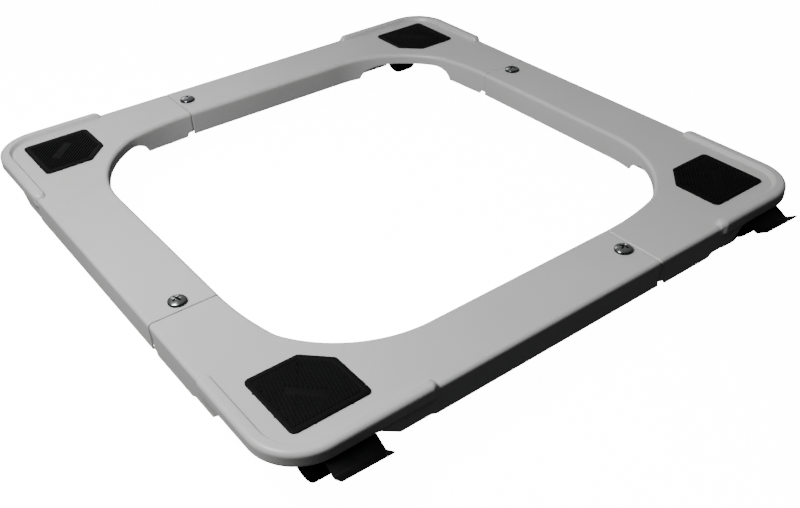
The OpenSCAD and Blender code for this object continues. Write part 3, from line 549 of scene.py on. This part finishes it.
powder_coat, tree, shader, place = new_finish("powder_coated_steel")
peel = use_group(tree, GRAIN, Place=place, Size=1.3, Cells=0.15)
fleck = use_group(tree, GRAIN, Place=place, Size=0.35, Cells=0.0)
dust = use_group(tree, DUST, Place=place, Amount=0.10)
free_edge = add_node(tree, "ShaderNodeAttribute", {"attribute_name": "free_edge"}).outputs["Fac"]
coat = blend_colours(
    tree, spread(tree, peel.outputs["Drift"], 0.3, 0.7),
    (0.475, 0.485, 0.475, 1.0), (0.515, 0.525, 0.515, 1.0),
)
flecks = spread(tree, fleck.outputs["Height"], 0.35, 0.65, 0.0, 0.1)
coat = blend_colours(tree, flecks, coat, (0.62, 0.63, 0.62, 1.0))
coat = blend_colours(tree, dust.outputs["Dust"], coat, (0.43, 0.42, 0.40, 1.0))
coat = blend_colours(tree, spread(tree, free_edge, 0.3, 1.0, 0.0, 0.12), coat, (0.30, 0.30, 0.29, 1.0))
tree.links.new(coat, shader.inputs["Base Color"])
gloss = add_node(
    tree, "ShaderNodeMath", {"operation": "ADD"},
    i0=spread(tree, peel.outputs["Drift"], 0.3, 0.7, 0.33, 0.40), i1=dust.outputs["Dust"],
)
tree.links.new(gloss.outputs[0], shader.inputs["Roughness"])
bump = add_node(tree, "ShaderNodeBump", Strength=0.10, Distance=0.0004, Height=peel.outputs["Height"])
tree.links.new(bump.outputs[0], shader.inputs["Normal"])

bracket.data.materials.clear()
bracket.data.materials.append(powder_coat)
for i, corner in enumerate(CORNERS):
    pressed = place_copy(bracket, f"pressed_bracket_{corner}", 90.0 * i, half_base * SIDE[i])
    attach(pressed, f"bracket_{corner}")
    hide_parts(f"corner_frame_{corner}")
bpy.data.objects.remove(bracket)

# Corner pads. Black rubber mats, 71 mm square with the inner corner cut off, stuck on the plate. A smooth
# border frames fine raised ribs, and a short bare bar lies across them parallel to the cut corner.
pad_in = 28.0
pad_w = 71.0
pad_cut = 22.0
pad_mid = pad_in + pad_w / 2
rib_gap = 3.0
rib_half = 0.62
rib_turn = (76.0, 46.0, 76.0, 46.0)


def rounded_line(corners, radius, steps=6, closed=True):
    """A line through corners with each bend made an arc. An arc begins radius times tan(half the turn)
    before its corner, and its points are that beginning turned step by step about the arc's centre."""
    p = np.asarray(corners, float)
    u = p - np.roll(p, 1, 0)
    v = np.roll(p, -1, 0) - p
    room = 0.49 * np.minimum(np.hypot(*u.T), np.hypot(*v.T))
    u = u / np.hypot(*u.T)[:, None]
    v = v / np.hypot(*v.T)[:, None]
    turn = np.arctan2(u[:, 0] * v[:, 1] - u[:, 1] * v[:, 0], (u * v).sum(1))
    half_tan = np.tan(np.abs(turn) / 2)
    r = np.minimum(np.broadcast_to(np.asarray(radius, float), len(p)), room / np.maximum(half_tan, 1e-9))
    begin = p - u * (r * half_tan)[:, None]
    centre = begin + np.stack([-u[:, 1], u[:, 0]], -1) * (np.sign(turn) * r)[:, None]
    swing = turn[:, None] * np.linspace(0.0, 1.0, steps)
    from_c = (begin - centre)[:, None]
    x = from_c[..., 0] * np.cos(swing) - from_c[..., 1] * np.sin(swing)
    y = from_c[..., 0] * np.sin(swing) + from_c[..., 1] * np.cos(swing)
    line = centre[:, None] + np.stack([x, y], -1)
    if closed:
        return line.reshape(-1, 2)
    return np.concatenate([p[:1], line[1:-1].reshape(-1, 2), p[-1:]])


def inset_by(outline, gaps):
    """A closed outline, counter-clockwise, moved inward by each gap along the mitre of its two edges."""
    ahead = np.roll(outline, -1, 0) - outline
    ahead = ahead / np.hypot(*ahead.T)[:, None]
    out = np.stack([ahead[:, 1], -ahead[:, 0]], -1)
    mitre = out + np.roll(out, 1, 0)
    mitre = 2.0 * mitre / (mitre * mitre).sum(1)[:, None]
    return outline - np.asarray(gaps)[:, None, None] * mitre


def slab(outline, levels):
    """A solid from rings of an outline, each (how far in, height), with the first and last ring covered."""
    n = len(outline)
    gaps, heights = np.transpose(levels)
    rings = inset_by(outline, gaps)
    rings = np.dstack([rings, np.broadcast_to(heights[:, None], (len(gaps), n))])
    caps = [np.arange(n), np.arange(n) + n * (len(gaps) - 1)]
    return rings, grid_faces(len(gaps), n, around=True), caps


def clip_lines(starts, way, corners):
    """Where lines start + t way cross a convex outline, counter-clockwise: the first and last t inside."""
    side = np.roll(corners, -1, 0) - corners
    out = np.stack([side[:, 1], -side[:, 0]], -1)
    rate = out @ way
    reach = ((corners[None] - starts[:, None]) * out).sum(-1) / rate
    enter = np.where(rate < 0, reach, -np.inf).max(1)
    leave = np.where(rate > 0, reach, np.inf).min(1)
    return enter, leave


def bars(starts, way, first, last, half_width, low, high):
    """Rounded bars along way. Across, a bar is a flat top with round shoulders on upright sides; toward
    each end its width and height shrink as a quarter circle's do, to nothing."""
    gap = np.array([0.0, 0.05, 0.2, 0.45, 0.8])
    size = np.sqrt(1.0 - (1.0 - gap / gap[-1]) ** 2)
    size = np.concatenate([size, size[::-1]])
    at = np.concatenate([first[:, None] + gap, last[:, None] - gap[::-1]], 1)
    y = np.array([-1.0, -1.0, -0.92, -0.6, 0.0, 0.6, 0.92, 1.0, 1.0]) * half_width
    z = np.array([0.0, 0.55, 0.8, 0.97, 1.0, 0.97, 0.8, 0.55, 0.0]) * (high - low)
    side = np.array([-way[1], way[0]])
    flat = starts[:, None] + at[..., None] * way
    flat = flat[:, :, None] + (size[:, None] * y)[None, ..., None] * side
    heights = np.broadcast_to(low + size[:, None] * z, flat.shape[:3])
    points = np.concatenate([flat, heights[..., None]], -1)
    faces = grid_faces(10, 9, around=True)
    faces = faces[None] + 90 * np.arange(len(starts))[:, None, None]
    return points, faces.reshape(-1, 4)


rubber, tree, shader, place = new_finish("ribbed_rubber")
bloom = use_group(tree, GRAIN, Place=place, Size=0.5, Cells=0.4)
dust = use_group(tree, DUST, Place=place, Amount=0.03)
tint = blend_colours(
    tree, spread(tree, bloom.outputs["Drift"], 0.3, 0.7),
    (0.002, 0.002, 0.0022, 1.0), (0.0036, 0.0036, 0.0038, 1.0),
)
tint = blend_colours(tree, dust.outputs["Dust"], tint, (0.04, 0.039, 0.037, 1.0))
tree.links.new(tint, shader.inputs["Base Color"])
tree.links.new(spread(tree, bloom.outputs["Drift"], 0.3, 0.7, 0.56, 0.70), shader.inputs["Roughness"])
bump = add_node(tree, "ShaderNodeBump", Strength=0.25, Distance=0.0002, Height=bloom.outputs["Height"])
tree.links.new(bump.outputs[0], shader.inputs["Normal"])
shader.inputs["Specular IOR Level"].default_value = 0.08

far_side = pad_in + pad_w
cut_side = far_side - pad_cut
pad_corners = np.array([
    (pad_in, pad_in), (far_side, pad_in), (far_side, cut_side), (cut_side, far_side), (pad_in, far_side),
])
pad_outline = rounded_line(pad_corners, [5.0, 5.0, 4.0, 4.0, 5.0])
field = inset_by(pad_corners, [5.6])[0]
bar_mid = pad_mid - 6.0 / np.sqrt(2.0)
bar_way = np.array([1.0, -1.0]) / np.sqrt(2.0)
bar_side = np.array([1.0, 1.0]) / np.sqrt(2.0)
bar_space = bar_mid + SIDE[:, :1] * 17.0 * bar_way + SIDE[:, 1:] * 4.4 * bar_side
bar_outline = bar_mid + SIDE[:, :1] * 15.5 * bar_way + SIDE[:, 1:] * 3.0 * bar_side
nib_at = np.array([
    (pad_in + 20.0, pad_in), (pad_in + 52.0, pad_in), (far_side, pad_in + 15.0), (far_side, pad_in + 38.0),
    (pad_in + 15.0, far_side), (pad_in + 40.0, far_side), (pad_in, pad_in + 24.0), (pad_in, pad_in + 55.0),
])
for i, corner in enumerate(CORNERS):
    # the ribs run the same way on opposite pads, whatever way the bracket is turned
    turn = np.radians(rib_turn[i] - 90.0 * i)
    way = np.array([np.cos(turn), np.sin(turn)])
    rank = np.arange(-17, 18)[:, None]
    starts = pad_mid + rank * rib_gap * np.array([-way[1], way[0]])
    first, last = clip_lines(starts, way, field)
    enter, leave = clip_lines(starts, way, bar_space)
    crossed = (leave > enter) & (last > first)
    starts = np.concatenate([starts, starts[crossed]])
    first, last = (
        np.concatenate([first, leave[crossed]]),
        np.concatenate([np.where(crossed, enter, last), last[crossed]]),
    )
    keep = last - first > 2.2
    nibs = [
        slab(arc(nib, 0.7, 0.0, 330.0, 12), [(0.0, top + 0.2), (0.0, top + 0.8), (0.3, top + 1.1)])
        for nib in nib_at
    ]
    mat = make_piece(f"ribbed_pad_{corner}", [
        slab(pad_outline, [
            (0.25, top + 0.02), (0.0, top + 0.3), (0.0, top + 1.05), (0.12, top + 1.4), (0.5, top + 1.6),
            (4.6, top + 1.6), (4.9, top + 1.5), (5.1, top + 1.25),
        ]),
        bars(starts[keep], way, first[keep], last[keep], rib_half, top + 1.0, top + 2.1),
        slab(rounded_line(bar_outline, 0.6), [
            (0.0, top + 1.0), (0.0, top + 1.2), (0.1, top + 1.3), (0.4, top + 1.35),
        ]),
        *nibs,
    ])
    mat.data.materials.append(rubber)
    mat.data.transform(Matrix.Rotation(np.radians(90.0 * i), 4, "Z"))
    mat.data.transform(Matrix.Translation((*(half_base * SIDE[i] * 0.001), 0.0)))
    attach(mat, f"bracket_{corner}")
    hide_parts(f"corner_pad_{corner}")

# Clamp screws. Zinc plated M8 pan heads with a cross recess, one through each overlap of two arms. The
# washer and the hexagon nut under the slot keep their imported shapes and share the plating.
screw_tip = -13.5


def turned(profile, steps=72):
    """A closed or axis-to-axis profile (radius, height) turned about the vertical: row n is the profile at
    angle 360 n / steps."""
    r, h = np.transpose(profile)
    angle = np.linspace(0.0, 2 * np.pi, steps, endpoint=False)
    rows = np.stack([
        np.outer(r, np.cos(angle)),
        np.outer(r, np.sin(angle)),
        np.broadcast_to(h[:, None], (len(r), steps)),
    ], -1)
    return rows, grid_faces(len(r), steps, around=True)


zinc, tree, shader, place = new_finish("zinc_plating")
plating = use_group(tree, GRAIN, Place=place, Size=0.6, Cells=0.5)
marks = use_group(tree, DUST, Place=place, Amount=0.3)
metal = blend_colours(
    tree, spread(tree, plating.outputs["Height"], 0.3, 0.7),
    (0.46, 0.48, 0.50, 1.0), (0.60, 0.61, 0.60, 1.0),
)
metal = blend_colours(tree, marks.outputs["Dust"], metal, (0.30, 0.29, 0.27, 1.0))
# painted shade: the colour goes nearly black as a face's world-space normal tilts from up toward upright, so
# the sides, the recess's walls and every other upright face in this plating carry painted shade, while faces
# turned up stay bright
tilt_for_painted_shade = add_node(tree, "ShaderNodeNewGeometry").outputs["Normal"]
tilt_for_painted_shade = add_node(tree, "ShaderNodeSeparateXYZ", i0=tilt_for_painted_shade).outputs["Z"]
metal = blend_colours(tree, spread(tree, tilt_for_painted_shade, 0.6, 0.97), (0.035, 0.04, 0.043, 1.0), metal)
tree.links.new(metal, shader.inputs["Base Color"])
tree.links.new(spread(tree, plating.outputs["Height"], 0.3, 0.7, 0.16, 0.26), shader.inputs["Roughness"])
bump = add_node(tree, "ShaderNodeBump", Strength=0.15, Distance=0.0001, Height=plating.outputs["Height"])
tree.links.new(bump.outputs[0], shader.inputs["Normal"])
shader.inputs["Metallic"].default_value = 1.0

dome_r = (8.5**2 + 2.4**2) / (2 * 2.4)
dome_a = np.degrees(np.arcsin(7.9 / dome_r))
dome = arc((0.0, 4.4 - dome_r), dome_r, 90.0, 90.0 - dome_a, 14)
head = np.concatenate([
    dome, arc((7.7, 1.3), 0.8, 40.0, 0.0, 5), [(8.5, 0.25), (8.2, 0.0), (3.9, 0.0), (3.9, -0.6)],
])
# the thread: the radius follows a 1.25 mm pitch as a triangle wave of height and angle together
levels = np.linspace(-0.6, screw_tip, 150)
angle = np.linspace(0.0, 2 * np.pi, 48, endpoint=False)
phase = (levels[:, None] / 1.25 - angle / (2 * np.pi)) % 1.0
ridge = np.clip(2.6 * np.abs(phase - 0.5) - 0.15, 0.0, 1.0)
from_tip = levels[:, None] - screw_tip
run_in = np.clip((levels[:, None] + 0.6) / -1.5, 0.0, 1.0) * np.clip(from_tip / 1.2 + 0.35, 0.0, 1.0)
thread_r = 3.9 - 0.65 * ridge * run_in - 0.7 * np.clip(1.0 - from_tip / 0.8, 0.0, 1.0)
thread = np.stack([
    thread_r * np.cos(angle), thread_r * np.sin(angle), np.broadcast_to(levels[:, None], thread_r.shape),
], -1)
tail = np.arange(48) + 48 * 149
head_rows, head_faces = turned(head, 48)
pattern = make_piece("screw_pattern", [
    (head_rows, head_faces),
    (thread, grid_faces(150, 48, around=True), [tail]),
])


def blade(turn):
    """One blade of the cross that forms the recess: 1.9 mm thick, 9.4 mm long on top, tapering to 4.6."""
    rings = np.stack([
        np.column_stack([SIDE * (length, thick), np.full(4, height)])
        for length, thick, height in ((2.1, 0.7, 1.7), (4.7, 0.95, 4.0), (5.2, 1.0, 6.0))
    ])
    c, s = np.cos(np.radians(turn)), np.sin(np.radians(turn))
    rings = rings @ np.array([(c, s, 0), (-s, c, 0), (0, 0, 1)])
    return rings, grid_faces(3, 4, around=True), [np.arange(4), np.arange(4) + 8]


for turn in (20.0, 110.0):
    cut_away(pattern, make_piece("recess_punch", [blade(turn)]))
pattern.data.materials.clear()
pattern.data.materials.append(zinc)
pattern.data.transform(Matrix.Translation((screw_at[0] * 0.001, screw_at[1] * 0.001, top * 0.001)))


def dress(finish, nodes):
    """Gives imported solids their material, in their own slots."""
    for name in nodes:
        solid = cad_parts[name]
        if not solid.material_slots:
            solid.data.materials.append(finish)
        for holder in solid.material_slots:
            holder.material = finish


for i, corner in enumerate(CORNERS):
    screw = place_copy(pattern, f"pan_head_screw_{corner}", 90.0 * i, half_base * SIDE[i])
    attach(screw, f"bracket_{corner}")
    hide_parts(f"clamp_screw_{corner}")
bpy.data.objects.remove(pattern)
dress(zinc, [f"clamp_{part}_{corner}" for part in ("washer", "nut") for corner in CORNERS])

# Castor mounts. Under each corner a stamped plate is riveted to the sheet. A kingpin hangs the fork from
# it on a ring of steel balls. Plate and fork are black stove enamel, the rest is bright or zinc plated.
enamel, tree, shader, place = new_finish("black_enamel")
orange = use_group(tree, GRAIN, Place=place, Size=0.8, Cells=0.2)
dust = use_group(tree, DUST, Place=place, Amount=0.12)
dark = blend_colours(
    tree, spread(tree, orange.outputs["Drift"], 0.3, 0.7),
    (0.0022, 0.0022, 0.0023, 1.0), (0.004, 0.004, 0.0042, 1.0),
)
dark = blend_colours(tree, dust.outputs["Dust"], dark, (0.04, 0.039, 0.037, 1.0))
tree.links.new(dark, shader.inputs["Base Color"])
shader.inputs["Specular IOR Level"].default_value = 0.09
gloss = add_node(
    tree, "ShaderNodeMath", {"operation": "ADD"},
    i0=spread(tree, orange.outputs["Drift"], 0.3, 0.7, 0.30, 0.40),
    i1=spread(tree, dust.outputs["Rub"], 0.0, 1.0, 0.0, 0.12),
)
tree.links.new(gloss.outputs[0], shader.inputs["Roughness"])
bump = add_node(tree, "ShaderNodeBump", Strength=0.15, Distance=0.0003, Height=orange.outputs["Height"])
tree.links.new(bump.outputs[0], shader.inputs["Normal"])

dress(enamel, [f"castor_plate_{corner}" for corner in CORNERS])
dress(enamel, [f"castor_fork_{corner}" for corner in CORNERS])
for part in ("plate_rivets", "kingpin", "bearing_balls", "wheel_axle"):
    dress(zinc, [f"{part}_{corner}" for corner in CORNERS])

# Wheels. Black nylon on steel axles: twin wheels with dished faces on the two braked castors in front, and
# one wide wheel with a rounded tread and dished faces on each back castor.
wheel_r = 20.0
trail = (24.5, 24.5, 32.0, 32.0)
rest_turn = (-1.7, -1.7, 180.0, 180.0)

nylon, tree, shader, place = new_finish("black_nylon")
moulded = use_group(tree, GRAIN, Place=place, Size=0.45, Cells=0.6)
dust = use_group(tree, DUST, Place=place, Amount=0.10)
dark = blend_colours(
    tree, spread(tree, moulded.outputs["Drift"], 0.3, 0.7),
    (0.003, 0.003, 0.0032, 1.0), (0.0055, 0.0055, 0.0058, 1.0),
)
dark = blend_colours(tree, dust.outputs["Rub"], dark, (0.014, 0.014, 0.0135, 1.0))
dark = blend_colours(tree, dust.outputs["Dust"], dark, (0.04, 0.039, 0.037, 1.0))
shader.inputs["Specular IOR Level"].default_value = 0.09
tree.links.new(dark, shader.inputs["Base Color"])
tree.links.new(spread(tree, moulded.outputs["Height"], 0.3, 0.7, 0.42, 0.55), shader.inputs["Roughness"])
bump = add_node(tree, "ShaderNodeBump", Strength=0.2, Distance=0.0002, Height=moulded.outputs["Height"])
tree.links.new(bump.outputs[0], shader.inputs["Normal"])


def under_corner(points, i):
    """Points of a castor's own frame, wheels toward -Y and x across, turned to their rest and put under
    the corner's swivel axis."""
    turn = np.radians(rest_turn[i])
    c, s = np.cos(turn), np.sin(turn)
    points = np.reshape(points, (-1, 3)) @ np.array([(c, s, 0), (-s, c, 0), (0, 0, 1)])
    return points + np.array([*(SIDE[i] * (half_base - kingpin_at)), 0.0])


def lay_wheel(profile, radii, side, i):
    """A wheel's closed half section (radius, distance from the castor's middle), rounded, turned about the
    axle and laid across the castor, to its left or right."""
    rows, faces = turned(rounded_line(profile, radii, 5)[list(range(len(profile) * 5)) + [0]], 96)
    across, around, height = rows[..., 2] * side, rows[..., 0], rows[..., 1]
    laid = np.stack([across, around - trail[i], height + wheel_r], -1)
    return under_corner(laid, i), faces


twin_section = np.array([
    (3.06, 5.8), (6.0, 5.8), (6.0, 11.5), (14.5, 11.5), (15.5, 7.5), (20.0, 7.5), (20.0, 23.0),
    (16.8, 23.0), (16.4, 22.3), (15.6, 22.3), (14.2, 20.2), (6.2, 18.5), (6.0, 20.2), (3.06, 20.2),
])
twin_radii = [0.2, 0.4, 1.0, 1.0, 0.4, 2.0, 2.2, 0.2, 0.3, 0.5, 1.2, 0.6, 0.5, 0.3]
wide_section = np.array([
    (3.06, -12.9), (6.9, -12.9), (7.0, -8.4), (12.6, -8.4), (14.2, -11.0), (20.0, -11.0), (20.0, 11.0),
    (14.2, 11.0), (12.6, 8.4), (7.0, 8.4), (6.9, 12.9), (3.06, 12.9),
])
wide_radii = [0.3, 0.5, 0.8, 0.9, 0.4, 5.0, 5.0, 0.4, 0.9, 0.8, 0.5, 0.3]
for i, corner in enumerate(CORNERS[:2]):
    for side, hand in ((-1, "left"), (1, "right")):
        wheel = make_piece(f"{hand}_twin_wheel_{corner}", [lay_wheel(twin_section, twin_radii, side, i)])
        wheel.data.materials.append(nylon)
        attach(wheel, f"{hand}_wheel_{corner}")
        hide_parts(f"{hand}_wheel_{corner}")
for i, corner in enumerate(CORNERS[2:], 2):
    wheel = make_piece(f"wide_wheel_{corner}", [lay_wheel(wide_section, wide_radii, 1, i)])
    wheel.data.materials.append(nylon)
    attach(wheel, f"wheel_{corner}")
    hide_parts(f"wheel_{corner}")

# Brake pedals. Each front castor has a foot lever of bent steel, enamelled black, that turns on a pin
# through the fork. Pressed, it brings two shoes down on the treads; a coil spring lifts it again.
pin_at = (15.0, 43.0)
press = 8.0
shoe_gap = 0.3
lever_sheet = 1.5
foot_half = 22.3
arm_half = 13.5
shoe_in = 8.0
ear_in = 7.8
ear_sheet = 2.0


def bent_strip(line, thick, half_width, edge=0.35):
    """A strip under a line (ahead, height), made as the line's two faces carried across. The faces draw
    together over the last bit at each side, so that all its edges are rounded."""
    line = np.asarray(line, float)
    ahead = np.gradient(line, axis=0)
    down = np.stack([ahead[:, 1], -ahead[:, 0]], -1) / np.hypot(*ahead.T)[:, None]
    t = np.array([0.0, 0.3, 1.0])
    inset = edge * (1.0 - np.sqrt(1.0 - (1.0 - t) ** 2))
    across = np.concatenate([-half_width + edge * t, half_width - edge * t[::-1]])
    inset = np.concatenate([inset, inset[::-1]])
    way = ahead / np.hypot(*ahead.T)[:, None]
    pull = np.zeros(len(line))
    pull[0], pull[-1] = 1.0, -1.0
    rows = []
    for x, gap in zip(across, inset):
        upper = line + gap * down + (pull * gap)[:, None] * way
        lower = line + (thick - gap) * down + (pull * gap)[:, None] * way
        nose = np.array([line[-1] + way[-1] * (0.3 - gap) + thick * k * down[-1] for k in (0.3, 0.7)])
        heel = np.array([line[0] - way[0] * (0.3 - gap) + thick * k * down[0] for k in (0.7, 0.3)])
        ring = np.concatenate([upper, nose, lower[::-1], heel])
        rows.append(np.column_stack([np.full(len(ring), x), -ring[:, 0], ring[:, 1]]))
    rows = np.stack(rows)
    n = rows.shape[1]
    caps = [np.arange(n), np.arange(n) + n * (len(across) - 1)]
    return rows, grid_faces(len(across), n, around=True), caps


def side_plate(outline, x0, x1, edge=0.3):
    """A plate cut to an outline (ahead, height), lying across the castor from x0 to x1, edges rounded."""
    rings, faces, caps = slab(outline, [
        (edge, x0), (edge * 0.3, x0 + edge * 0.3), (0.0, x0 + edge), (0.0, x1 - edge),
        (edge * 0.3, x1 - edge * 0.3), (edge, x1),
    ])
    return np.stack([rings[..., 2], -rings[..., 0], rings[..., 1]], -1), faces, caps


foot_line = rounded_line([(59.2, 47.3), (71.0, 40.8), (81.1, 47.5)], 2.4, 8, closed=False)
arm_line = rounded_line([(21.0, 46.0), (58.6, 46.0), (61.4, 45.7), (70.0, 40.95)], 3.0, 6, closed=False)
ear = np.concatenate([
    arc(pin_at, 3.2, 100.0, 290.0, 16), [(24.0, 42.0), (35.0, 44.0), (35.0, 45.8), (22.0, 46.2)],
])
tread_c = np.array([24.5 - pin_at[0], wheel_r - pin_at[1]])
c, s = np.cos(np.radians(press)), np.sin(np.radians(press))
tread_c = np.array([c * tread_c[0] - s * tread_c[1], s * tread_c[0] + c * tread_c[1]]) + pin_at
shoe_r = wheel_r + shoe_gap
tread_a = np.degrees(np.arccos((np.array([41.5, 33.5]) - tread_c[0]) / shoe_r))
shoe = np.concatenate([arc(tread_c, shoe_r, tread_a[1], tread_a[0], 8), [(41.5, 45.0), (33.5, 45.0)]])
for i, corner in enumerate(CORNERS[:2]):
    levers = [bent_strip(foot_line, lever_sheet, foot_half), bent_strip(arm_line, lever_sheet, arm_half)]
    for x0 in (ear_in, -ear_in - ear_sheet):
        levers.append(side_plate(ear, x0, x0 + ear_sheet))
    for x0 in (shoe_in, -arm_half):
        levers.append(side_plate(shoe, x0, x0 + arm_half - shoe_in))
    pedal = make_piece(f"foot_lever_{corner}", [
        (under_corner(points, i), *faces) for points, *faces in levers
    ])
    pedal.data.materials.append(enamel)
    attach(pedal, f"pedal_{corner}")
    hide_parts(f"brake_pedal_{corner}")
dress(zinc, [f"pedal_pin_{corner}" for corner in CORNERS[:2]])

# Return springs. Each is a coil of 0.8 mm wire, five open turns between a closed one at each end. It stands
# on the fork's shelf under the pedal's arm. The real spring shortens as the pedal is pressed; this coil
# keeps one length and rides with the castor.
coil_r = 2.5
wire_r = 0.4
coil_at = -25.0
coil_turn = np.linspace(0.0, 14.0 * np.pi, 337)[:, None]
coil_z = np.interp(coil_turn / (2.0 * np.pi), [0.0, 1.0, 6.0, 7.0], [34.5, 35.3, 43.1, 43.9])
lead = np.gradient(coil_z[:, 0], coil_turn[:, 0])[:, None] / coil_r
wire = np.linspace(0.0, 2.0 * np.pi, 12, endpoint=False)
out = coil_r + wire_r * np.cos(wire)
lift = wire_r * np.sin(wire)
coil = np.stack([
    out * np.cos(coil_turn) + lift * lead * np.sin(coil_turn),
    out * np.sin(coil_turn) - lift * lead * np.cos(coil_turn) + coil_at,
    coil_z + lift,
], -1)
coil_caps = [np.arange(12), np.arange(12) + 12 * 336]
for i, corner in enumerate(CORNERS[:2]):
    spring = make_piece(f"return_spring_{corner}", [
        (under_corner(coil, i), grid_faces(337, 12, around=True), coil_caps),
    ])
    spring.data.materials.append(zinc)
    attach(spring, f"castor_{corner}")
    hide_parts(f"pedal_spring_{corner}")
    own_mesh(spring)
